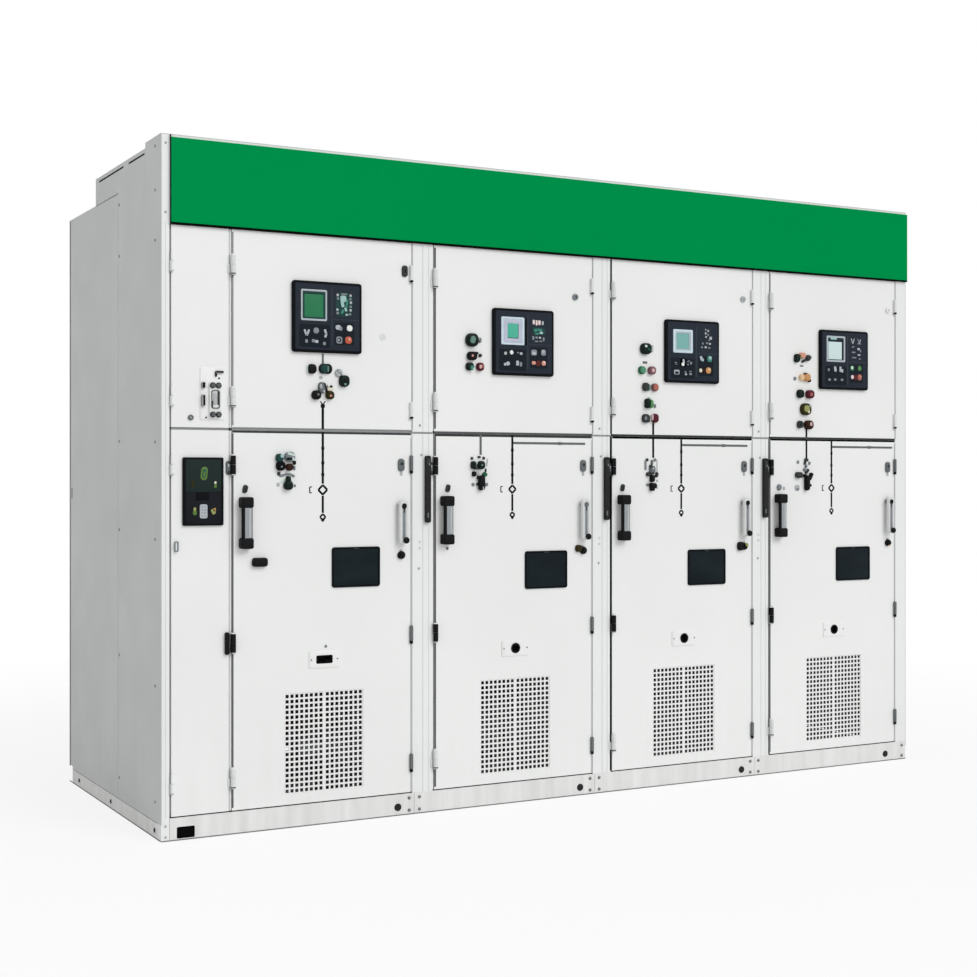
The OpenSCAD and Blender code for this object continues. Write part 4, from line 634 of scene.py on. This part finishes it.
def grip(kit, i):
    """Pull handle: two moulded end blocks and the drawn bar between them, with a painted highlight down its middle
    and painted shade at its sides.
    """
    x, z = on_door(i, GRIP)
    for s in (-1, 1):
        kit["black"].plate(x, z + s * 68, 42, 36, 7, 0, -33.5, 4)

    def arc(a0, a1, swell, n=8):
        """Part of the bar's rounded face, seen from above, and the point behind it that closes it."""
        pts = [(x + 19.5 * math.cos(a), -23 - (9.2 + swell) * math.sin(a))
               for a in [a0 + (a1 - a0) * k / n for k in range(n + 1)]]
        return pts + [(x, -23)] if swell else pts
    # Black rounded face behind the bar, left showing at both its sides: painted shade
    kit["black"].column(arc(0, math.pi, 0, 16), z - 51, z + 51)
    kit["bar"].column(arc(0.5, 2.1, 0.4), z - 50, z + 50)
    # Light grey strip down the bar's middle: painted highlight
    kit["light_grey"].column(arc(0.95, 1.4, 0.7), z - 47, z + 47)


def lever(i):
    """Swing lever: pressed arm with its darker groove, ball knob, pivot cap and mark."""
    x, z = on_door(i, LEVER)
    kit = Kit(f"lever_{i}", f"lever_{i}")
    kit["pale"].plate(x, z - 57, 36, 150, 8, -12.3, -21.5, 2)
    kit["pale"].frame(x, z - 57, (32, 144, 6), (15, 118, 5), -21, -23.2, 0.6)
    kit.plates(x, z - 57, ("light_grey", 0, 0, 15, 118, 5, -21, -21.9, 0.3),
               ("grey", 0, 0, 8, 112, 3, -21, -22.8, 0.4))
    kit["black"].lathe(x + 6, z - 120, [
        (9, -21), (9.5, -24), (11, -27), (11.4, -30), (10, -33), (6, -34.2), (0, -34.3)], 28)
    kit["mid_grey" if i == 2 else "black"].lathe(x, z - 2, [(8.5, -21), (8.5, -24), (6, -25), (0, -25)], 20)
    kit["dark_grey"].plate(x + 1, z - 16, 5, 16, 2, -22, -23.4, 0.3)
    kit.done(pale=f"lever_{i}")


def window(kit, i):
    """Inspection window: its rim stands for the CAD node, and the pane is stepped."""
    x, z = door_x(i) + WINDOW[i][0], SEAM - WINDOW[i][1]
    rim = Piece(f"window_rim_{i}", "rim", f"lower_door_{i}")
    rim.frame(x, z, (180, 138, 9), (166, 124, 5), 0, -5, 1.2)
    rim.done(f"window_{i}")
    kit.plates(x, z, ("pane", 0, 0, 168, 126, 3, 0, -3, 0.4), ("pane", 0, 0, 150, 108, 3, -2.8, -3.6, 0.3),
               ("dark_grey", 0, 64, 20, 4, 1.5, -4, -5.4, 0.3))


def mimic(i):
    """One-line diagram on the doors: bars with open diamonds, broken at the seam."""
    left = door_x(i)
    x, branch = left + (325 if i == 1 else 318), left + BRANCH_X
    lower = Piece(f"mimic_lower_{i}", "ink", f"lower_door_{i}")
    (high, low), (big, small) = DIAMONDS, (40, 27) if i == 1 else (36, 26)
    lower.strip(x, SEAM - 4.5, x, high + 1 + big / 2, 8.4)
    lower.strip(x, high - big / 2, x, low + 1 + small / 2, 8)
    for z, size, width in ((high, big, 7.2), (low, small, 6.2)):
        half = (size - width) / 2
        corners = [(x, z + half), (x + half, z), (x, z - half), (x - half, z)]
        for a, b in zip(corners, corners[1:] + corners[:1]):
            lower.strip(*a, *b, width)
    lower.plate(x, low - 10, 10, 10, 2, 0, -0.9, 0.2, math.pi / 4)
    for dz in (60, 110, 150):
        lower.plate(x, SEAM - dz, 11, 12, 3, 0, -0.9, 0.2)
    if i > 1:
        across = Piece(f"mimic_across_{i}", "ink_grey", f"lower_door_{i}")
        across.strip(x, SEAM - 34, left + {2: 630, 3: 638, 4: 647}[i], SEAM - 34, 8.4)
        across.plate(left + 520, SEAM - 34, 18, 11, 2, 0, -0.9, 0.2)
        (lower if i > 2 else across).strip(branch, SEAM - 6, branch, SEAM - (84 if i > 2 else 78), 9)
    # Bracket beside the large diamond
    lower.strip(x - 48, high + 10, x - 48, high - 10, 4)
    for z in (high + 10, high - 10):
        lower.strip(x - 48, z, x - 40, z, 3.4)
    lower.done()
    if i > 1:
        across.done()
    if i != 2:
        upper = Piece(f"mimic_upper_{i}", "ink", f"upper_door_{i}")
        if i == 1:
            upper.strip(x, SEAM + 4.5, x, SEAM + 92, 9)
            upper.plate(x, SEAM + 84, 15, 12, 2, 0, -1.2, 0.3)
            for side in (-9, 9):
                upper.strip(x + side, SEAM + 100, x, SEAM + 88, 4)
        else:
            upper.strip(branch, SEAM + 4.5, branch, SEAM + 50, 9)
        upper.done()


def locks(kit, i):
    """Key lock above the grip, oval lock with its tag above the lever, lever boss, and catch below it."""
    x, z = door_x(i) + (54 if i == 2 else 46), KEY_LOCK_Z
    if i < 4:
        kit["dark_grey"].dome(x, z, 17, 27, 7.5, 0, -7, math.radians(-12))
        kit["black"].plate(x, z, 3.4, 11, 1.2, -5, -7.4, 0.1, math.radians(-12))
    else:
        kit["grey"].dome(x, z, 22, 24, 10, 0, -7)
        kit["light_grey"].dome(x + 26, z - 4, 9, 12, 4, 0, -3)
    if i == 2:
        kit["mid_grey"].lathe(door_x(i) + 52, SEAM - 412, [(5, 0), (5, -1.6), (3.6, -2.6), (0, -2.8)], 18)
    x, z = on_door(i, OVAL_LOCK)
    kit["mid_grey"].dome(x, z, 24, 44, 10.5, 0, -8)
    kit["dark_grey"].lathe(x, z + 4, [(6, -6), (6, -8.6), (0, -8.6)], 20)
    kit["light_grey"].plate(x + 1, z - 30, 9, 14, 3, 0, -2, 0.4)
    kit["mid_grey" if i == 2 else "black"].lathe(*on_door(i, LEVER), [
        (13, 0), (13, -10.5), (12, -12), (5, -12), (5, -23.6), (9, -23.6), (9, -25.2), (8, -26), (0, -26)])
    x, z = on_door(i, CATCH)
    kit["black"].lathe(x, z, [(14, 0), (14, -7), (12.5, -10), (9, -10.5), (9, -15), (7.5, -17), (0, -17)], 32)
    kit["light_grey"].plate(x, z + 17, 9, 5, 1.5, 0, -4, 0.5)
    for material, px, pz, *rest in {
            1: [], 2: [("olive", -21, 8, 26, 26, 10, 0, -13), ("dark_bolt", -20, 6, 9, 9, 4, -10, -14)],
            3: [("black", -20, 1, 27, 34, 11, 0, -15), ("olive_pale", 4, 6, 14, 14, 6, -8, -18.4)],
            4: [("amber", 2, -9, 12, 9, 4, 0, -12)]}[i]:
        kit[material].dome(x + px, z + pz, *rest)


def crank_socket(kit, i):
    """Bare plate round the socket, with its small screws."""
    x, z = on_door(i, CRANK)
    if i == 1:
        kit["door"].frame(x, z, (112, 58, 3), (54, 22, 3), 0, -3, 0.6)
        # Dark ring inside the socket's opening: painted shade of the opening
        kit["hole"].frame(x, z, (60, 28, 5), (50, 18, 4), -2.5, -4, 0.5)
        kit["grey"].lathe(x + 6, z + 44, [(5, 0), (5, -1.4), (3.6, -2.4), (0, -2.6)], 18)
        kit["black"].plate(door_x(i) + 96, SEAM - 443, 52, 30, 9, 0, -17, 5)
    else:
        kit["door"].frame(x, z, (112, 58, 3), (30, 30, 14.9), 0, -3, 0.6)
        kit["black"].frame(x, z, (38, 38, 18.9), (26, 26, 12.9), -2.5, -4.6, 0.8)
    for px in (-48, 48):
        kit["mid_grey"].lathe(x + px, z, [(2.6, -2.5), (2.6, -3.8), (0, -4.2)], 14)


def lower_fittings(i):
    """Breaker door: controls, latches, locks, crank socket, grip, window and lever."""
    kit = fitted("lower", i, LOWER_SHAPES)
    for z in (PLINTH + 107, LOWER_MID - 77, SEAM - 114):
        latch(kit, i, z, "latch")
    locks(kit, i)
    crank_socket(kit, i)
    grip(kit, i)
    window(kit, i)
    kit.done(black=f"lower_controls_{i}")
    lever(i)


def display_panel():
    """Display panel, pull and handle of the narrow lower door."""
    x, z = 140, SEAM - 206
    kit = Kit("display", "end_door_lower")
    kit.plates(x, z, ("rim", 0, 0, 138, 224, 5, 0, -9, 1.4), ("screen_field", 0, 52, 120, 106, 2, -8.6, -9.4, 0.2),
               ("panel", 0, -54, 120, 104, 2, -8.6, -9.4, 0.2), ("rim", -4, -16, 46, 26, 3, -9, -10, 0.3))
    kit["black"].plate(222, LOWER_MID - 75, 14, 74, 5, 0, -14, 4)
    kit["key_pale"].plate(x, z - 65, 26, 46, 6, -9, -10.6, 0.6)
    for row in range(4):
        for side in (-5, 5):
            kit["grey"].plate(x + side, z - 50 - row * 10, 5, 3, 1, -10.4, -11, 0.2)
    for sx, sz, turn in ((-26, -20, 0.5), (-8, -26, -0.7), (12, -22, 0.9), (26, -30, -0.4)):
        kit["recess"].plate(x + sx, z + sz, 26, 2.4, 1, -9, -9.8, 0.2, turn)
    # Outlined status mark, an upright leaf shape, and small marks round it
    lean = math.radians(-6)
    kit["lens_lime"].dome(x + 2, z + 59, 23, 44, 11.04, -9, -10.6, lean)
    kit["lens_deep_green"].dome(x + 2, z + 59, 13, 30, 6.24, -9.7, -11.1, lean)
    kit["lens_lime"].plate(x + 2, z + 57, 6, 18, 2.8, -10, -11.6, 0.2, lean)
    for material, sx, sz, w, h, turn in (
            ("olive_pale", 33, -66, 13, 18, 25), ("amber", 37, -60, 9, 11, 10), ("olive_pale", -30, -58, 9, 12, 0),
            ("lens_lime", -30, -70, 13, 14, 10), ("cream", 40, 29, 7, 8, 0), ("lens_lime", 40, 18, 9, 12, 0),
            ("olive", -36, 26, 9, 22, -10)):
        kit.moulded(material, x + sx, z + sz, w, h, 11, turn, 9)
    kit.plates(50, SEAM - 385, ("grey", 0, 0, 12, 34, 4, 0, -12, 3),
               ("white_key", -3, 0, 4, 26, 1.5, -11, -12.6, 0.3))
    kit.done(rim="end_controls")


def interlock():
    """Key interlock on the upper narrow door: base plate, four capped barrels, slides and hook."""
    x, z = 181, SEAM + 95
    kit = Kit("interlock", "end_door_upper")
    kit.plates(x, z, ("door", -8, 21, 84.4, 172.4, 6, -0.2, -2.4, 0.5),
               ("white_key", 0, 0, 40.4, 120.4, 8, -0.2, -9.4, 1.5))
    kit["mid_grey"].frame(x, z + 2, (30, 62, 8), (22, 54, 6), -6, -11.6, 0.8)
    kit.plates(x, z, ("light_grey", -2, 4, 12, 42, 5, -9, -11.5, 1.2), ("dark_grey", 9, 6, 5, 44, 2, -9, -12.4, 0.4),
               ("dark_grey", -12, -14, 5, 22, 2, -9, -12.4, 0.4))
    for sx in (-10, 10):
        for sz in (-48, 48):
            kit["black"].lathe(x + sx, z + sz, [(9.6, -9), (9.6, -14.2), (8.6, -15.4), (6.4, -15.4), (6.2, -13)], 28)
            kit["mid_grey"].lathe(x + sx, z + sz, [(6.3, -9), (6.3, -15), (5, -16), (0, -16)], 24)
            kit["black"].plate(x + sx, z + sz, 1.8, 7, 0.7, -15.8, -16.3, 0.1, 0.4 * sx)
    for px, pz, w, h, *rest in ((-40, 48, 11.4, 20.4, 3, -0.2, -10.4, 2), (-40, -2, 11.4, 38.4, 3, -0.2, -13.4, 3),
                                (15, 93, 28.4, 8.4, 3, -0.2, -9.4, 2), (3, 86, 6, 18, 2.5, -2, -8, 1.5)):
        kit["black"].plate(x + px, z + pz, w, h, *rest)
    for sx, sz in ((-30, -58), (-8, -58), (14, 72)):
        kit["dark_grey"].lathe(x + sx, z + sz, [(3, -2), (3, -4), (0, -4.6)], 14)
    kit["mid_grey"].lathe(99, SEAM + 36, [(9.4, 0), (9.4, -4), (8, -5.6), (0, -6)], 22)
    kit["light_grey"].plate(99, SEAM + 36, 3, 9, 0.8, -5, -6.3, 0.1, 0.7)
    kit.done()


for i in CUBICLES:
    upper_fittings(i)
    lower_fittings(i)
    mimic(i)
display_panel()
interlock()


# ---------------------------------------------------------------- hinges, seams and fasteners

def hinges():
    """Sleeves over the hinge barrels: the upper half turns with the door, the lower half and its tip stay."""
    fixed = Kit("hinge", "frame")

    def sleeve(piece, x, y, *levels):
        piece.rings([[(x + px, y + py, z) for px, py in circle(r, 20)] for r, z in levels])
    rows = []
    for i in CUBICLES:
        rows += [(f"lower_door_{i}", door_x(i), -9, 9.0, LOWER_HINGES),
                 (f"upper_door_{i}", door_x(i), -9, 9.0, UPPER_HINGES)]
    rows += [("end_door_lower", 34, -6, 5.8, LOWER_HINGES[::2]), ("end_door_upper", 34, -6, 5.8, UPPER_HINGES)]
    for body, x, y, r, heights in rows:
        moving = Kit(f"hinge_{body}", body)
        wide = not body.startswith("end")
        for z in heights:
            dark = wide and z in LOWER_HINGES[1:]
            tone = "black" if dark else "hinge" if wide else "door"
            sleeve(moving[tone], x + 2, y, (r, z + 0.4), (r, z + 27), (r - 1.5, z + 33), (r - 4, z + 35.6))
            sleeve(fixed[tone], x + 2, y, (r, z - 28), (r, z - 0.4))
            sleeve(fixed["black" if wide else "door"], x + 2, y,
                   (r - 4, z - 35.6), (r - 1.6, z - 34), (r - 0.6, z - 30), (r - 0.2, z - 28))
            # The leaf beside the barrel: a moulded cover at the top of the lower doors, else a plain one
            if wide and z == LOWER_HINGES[2]:
                fixed["mid_grey"].dome(x - 13, z - 10, 16, 46, 7, 0, -6)
                fixed["dark_grey"].dome(x - 12, z - 26, 10, 14, 4, -4, -7)
                fixed["light_grey"].dome(x - 13, z - 2, 5, 12, 2, -4, -7)
                fixed["dark_grey"].dome(x - 11, z + 6, 7, 10, 2, -4, -7)
            elif wide and not dark:
                fixed["hinge"].plate(x - 11, z - 14, 8, 30, 3, 0, -3, 1)
        moving.done()
    fixed.done()


def seams():
    """Door gaskets, strips of painted shade in and beside the seams, and joint lines of the frame."""
    kit = Kit("seal", "frame")
    rows = (("lower", PLINTH + 5, SEAM - 5), ("upper", SEAM + 5, HEADER_Z - 5))
    # Strips of painted shade beside the left seam of a door: how wide on the post and up to where on the door, and
    # their tone
    beside = {("upper", 2): (0, 7, "shade_dark"), ("lower", 2): (0, 7.5, "shade_dark"),
              ("upper", 3): (3, 0, "shade_dark"), ("lower", 3): (4, 0, "seal"),
              ("upper", 4): (0, 4, "shade_mid"), ("lower", 4): (2, 3.5, "shade_dark")}
    # Seam between the doors: tone of the gap, height of the strip above it, height and tone of the one below; the
    # strip in the gap and the strips on the doors paint the seam's shade
    middle = {1: ("shade_mid", 3, 7, "dark_grey"), 2: ("shade_dark", 0, 9, "dark_grey"),
              3: ("dark_grey", 0, 8, "seal"), 4: ("dark_grey", 0, 7, "seal")}
    for i in CUBICLES:
        x, right = door_x(i), door_x(i) + DOOR_W
        tone, up, down, down_tone = middle[i]
        kit[tone].box(x + 1, right - 1, 1.2, 26, SEAM - 3.4, SEAM + 3.4)
        # Strips on the door faces that paint the shade along the seams
        shade_strips = {row: Kit(f"edge_{row}_{i}", f"{row}_door_{i}") for row in ("upper", "lower")}
        if up:
            shade_strips["upper"]["shade_mid"].box(x + 1, right - 1, FILM, 0, SEAM + 4.2, SEAM + 4.2 + up)
        shade_strips["lower"][down_tone].box(x + 1, right - 1, FILM, 0, SEAM - 4.2 - down, SEAM - 4.2)
        # Grey strip down the free edge of the lower door: painted shade
        shade_strips["lower"]["seal_grey"].box(right - 4, right - 0.3, FILM, 0, PLINTH + 5, SEAM - 20)
        for row, z0, z1 in rows:
            # Grey strip in the gap at a door's free edge, and for the upper doors one on the pillar beside it:
            # painted shade
            kit["seal_grey"].box(right + 0.6, right + 3.6, 2, 20, z0, z1)
            if row == "upper":
                kit["seal_grey"].box(right + 4.1, right + 7, FILM, 0, z0, z1)
            if i == 1:
                kit["post"].box(232.3, 237, 0.6, 20, z0, z1)
                # Strip of painted shade on the first door beside its left seam
                tone = "shade_mid" if row == "upper" else "shade_dark"
                shade_strips[row][tone].box(x + 0.3, x + 6, FILM, 0, z0 + 8, z1 - 8)
                continue
            on_post, on_leaf, tone = beside[row, i]
            # Black gasket in the hinge gap, which also paints the gap's shade
            if on_leaf and not on_post:
                kit["post"].box(x - 5.8, x - 3, 1.0, 22, z0, z1)
                kit["seal"].box(x - 2.8, x - 0.7, 2.0, 22, z0, z1)
            else:
                kit["seal"].box(x - 5.8, x - 0.7, 2.0, 22, z0, z1)
            if on_post:
                kit[tone].box(x - 6 - on_post, x - 6, FILM, 0, z0, z1)
            if on_leaf:
                shade_strips[row][tone].box(x + 0.3, x + on_leaf, FILM, 0, z0 + 8, z1 - 8)
        for shade_kit in shade_strips.values():
            shade_kit.done()
        if i < 4:
            # Joint lines down the pillar
            kit["joint"].box(right + 44, right + 47, -0.3, 0, PLINTH, HEADER_Z - 5)
            kit["joint"].box(right + 67, right + 69, -0.3, 0, PLINTH, HEADER_Z - 5)
            for z in (SEAM - 386, SEAM - 408):
                kit["joint"].lathe(right + 34, z, [(5, 0), (5, -1.2), (3.4, -2), (0, -2.2)], 18)
            # Grey line across the pillar at the height of the door seam: painted shade
            kit["shade_mid"].box(right + 5, x + PITCH - 7, FILM, 0, SEAM - 6, SEAM + 1)
    # Painted shade in the seam of the narrow doors and in the gap under the doors, painted shadow lines along the
    # foot, fold line of the end post, and painted shade lines under and beside the fascia
    for tone, *box in (
            ("shade_mid", 36, 228, 3, 20, SEAM - 3.4, SEAM + 3.4),
            ("seal", 32, TOTAL_W - 4, 1.8, 8, PLINTH + 0.3, PLINTH + 3.6),
            ("foot", 1, TOTAL_W - 1, -0.4, 0, 0.2, 4), ("foot", -0.4, 0, 4, DEPTH - 8, 0.2, 4),
            ("joint", 14, 16, -0.3, 0, PLINTH, HEADER_Z),
            ("seal", 31, TOTAL_W - 0.5, -10.5, -0.2, HEADER_Z - 3.4, HEADER_Z + 3),
            ("seal", 29.8, 31, -10.2, 0, HEADER_Z, HEIGHT - 2)):
        kit[tone].box(*box)
    # Edges of the end walls
    for x, lap in ((-0.4, 0), (TOTAL_W, TOTAL_W - 1)):
        kit["edge"].box(x, x + 0.4, DEPTH - 17, DEPTH - 6, 60, 2182)
        kit["edge"].box(lap, lap + 1, 1150, DEPTH - 6, SEAM - 240, SEAM - 200)
    # Dark insert in the plinth's lifting slot: painted shade of the slot
    kit["hole"].plate(83, 25, 70, 46, 4, 9, 6, 0.4)
    # Moulded detail of the strips on the pillars
    for i in CUBICLES[1:]:
        kit.plates(door_x(i) - 28.5, SEAM - 201, ("dark_grey", 0, 96, 13, 24, 4, -13, -14.8, 0.5),
                   ("grey", 3, 88, 4, 9, 1.5, -14, -15.2, 0.3), ("mid_grey", -2, -92, 6, 18, 2, -13, -14.8, 0.4))
    kit.done()


def fasteners():
    """Bolts of the plinth and the rear covers, screws of the posts and end walls, and rubber stoppers, which in the
    side rails also paint the shade of the rails' openings.
    """
    bolts = Piece("hex_bolts", "bolt", "frame")
    side = Piece("side_bolts", "side_bolt", "frame")
    dark = Piece("post_screws", "light_grey", "frame")
    plugs_and_shade = Piece("rubber_plugs", "rubber", "frame")

    def hexagon(piece, x, z, r=6.0):
        piece.lathe(x, z, [(r, 0), (r, -1.0), (r - 0.5, -1.3)], 24)
        piece.lathe(x, z, [(r - 1.2, -1.2), (r - 1.2, -3.6), (r - 1.8, -4.0), (0, -4.0)], 6)

    def sideways(piece, y, z, sign, r):
        """Screw on an end wall, the left one for a negative sign."""
        wall = TOTAL_W if sign > 0 else 0
        piece.rings([[(wall + sign * d, y + py, z + pz) for py, pz in circle(rad, 16)]
                     for rad, d in ((r, 0), (r, 1.2), (r * 0.7, 2.6), (0.05, 3.0))])
    joints = [door_x(i) + DOOR_W + 12 for i in CUBICLES[:3]]
    for x in joints + [TOTAL_W - 2.5]:
        for z in (16, 59):
            hexagon(bolts, x - 20, z)
            if x in joints:
                hexagon(bolts, x + 20, z)
    for i in CUBICLES:
        plugs_and_shade.lathe(door_x(i) + DOOR_W - 52, 30, [(13, 0), (13, -1.8), (11, -3.4), (7, -4), (0, -3)], 28)
    for z in (15, 50, HEADER_Z + 35, HEIGHT - 30):
        hexagon(dark, 15.25, z, 4)
    for i in CUBICLES[:3]:
        for dx, z in ((694, SEAM + 24), (700, SEAM - 80), (690, SEAM - 480)):
            hexagon(dark, door_x(i) + dx, z, 4.5)
    for sign in (-1, 1):
        for y, heights in ((64, (120, 500, 980, SEAM - 43, HEADER_Z - 50, 2125, HEIGHT - 31)),
                           (490, (130, 560, 1000, SEAM - 33, HEADER_Z - 50, 2140))):
            for z in heights:
                sideways(side, y, z, sign, 5.0)
        # Dark discs in the openings of the side rails: painted shade of the openings
        for y in (70, 600, 1045):
            sideways(plugs_and_shade, y, 26.5, sign, 8)
    edges, back = [0] + joints + [TOTAL_W], DEPTH - 6
    for start, end in zip(edges, edges[1:]):
        for x in (start + 22, end - 22):
            for z in (110, 586.5, 1070, 1180, 1652, 2130):
                bolts.lathe(x, z, [(6, back), (6, back + 1.5), (4.2, back + 3.6), (0.05, back + 4)], 16)
    bolts.done("panel_bolts")
    side.done()
    dark.done()
    plugs_and_shade.done()


hinges()
seams()
fasteners()

# ---------------------------------------------------------------- camera, light and floor

# The place and lens come from the photo's perspective
camera = bpy.data.objects.new("camera", bpy.data.cameras.new("camera"))
bpy.context.scene.collection.objects.link(camera)
camera.location = (-3.1387, -5.6141, 1.1789)
camera.rotation_euler = (math.radians(90), 0, math.radians(-28.673))
camera.data.lens = 58.39
camera.data.sensor_width = 36
camera.data.shift_y = -0.0100
bpy.context.scene.camera = camera


def floor():
    """Pale floor that turns into the plain background far from the object."""
    mesh = bpy.data.meshes.new("floor")
    mesh.from_pydata([(-40, -40, 0), (40, -40, 0), (40, 40, 0), (-40, 40, 0)], [], [(0, 1, 2, 3)])
    obj = bpy.data.objects.new("floor", mesh)
    bpy.context.scene.collection.objects.link(obj)
    n = Nodes("floor_pale")
    n.surface(n.mix(n.noise(3.0, 3.0), srgb(243, 243, 243), srgb(247, 247, 246)), 0.9, shine=0.1)
    far = n.new("ShaderNodeVectorMath", operation="LENGTH")
    n.feed(far.inputs[0], n.coord)
    share = n.math("MULTIPLY", n.ramp(far.outputs["Value"], 1.6, 5.0, 0.82, 1.0), n.seen())
    # Under the cabinets the floor has only the light that falls there
    axes = n.axes(n.coord)
    past = [n.math("GREATER_THAN", n.math("ABSOLUTE", axes[k]), half) for k, half in enumerate(UNDER)]
    white = n.new("ShaderNodeEmission", Color=(1, 1, 1, 1), Strength=1.0)
    mixer = n.new("ShaderNodeMixShader")
    n.feed(mixer.inputs["Fac"], n.math("MULTIPLY", share, n.math("MAXIMUM", *past)))
    n.feed(mixer.inputs[1], n.bsdf.outputs["BSDF"])
    n.feed(mixer.inputs[2], white.outputs["Emission"])
    n.feed(n.tree.nodes["Material Output"].inputs["Surface"], mixer.outputs["Shader"])
    mesh.materials.append(n.material)


def lights():
    """White surroundings, dimmer as a light than as a background, and a soft sun."""
    world = bpy.data.worlds.new("studio")
    bpy.context.scene.world = world
    world.use_nodes = True
    n = Tree(world.node_tree)
    background = n.tree.nodes["Background"]
    n.feed(background.inputs["Strength"], n.ramp(n.seen(), 0.0, 1.0, 0.55, 1.0))
    n.feed(background.inputs["Color"], (1, 1, 1, 1))
    sun = bpy.data.objects.new("key", bpy.data.lights.new("key", "SUN"))
    sun.data.energy = 1.28
    sun.data.angle = math.radians(35)
    sun.rotation_euler = Vector((0.45, -1.0, 0.75)).to_track_quat("Z", "Y").to_euler()
    bpy.context.scene.collection.objects.link(sun)


floor()
lights()
bpy.context.scene.view_settings.view_transform = "Standard"
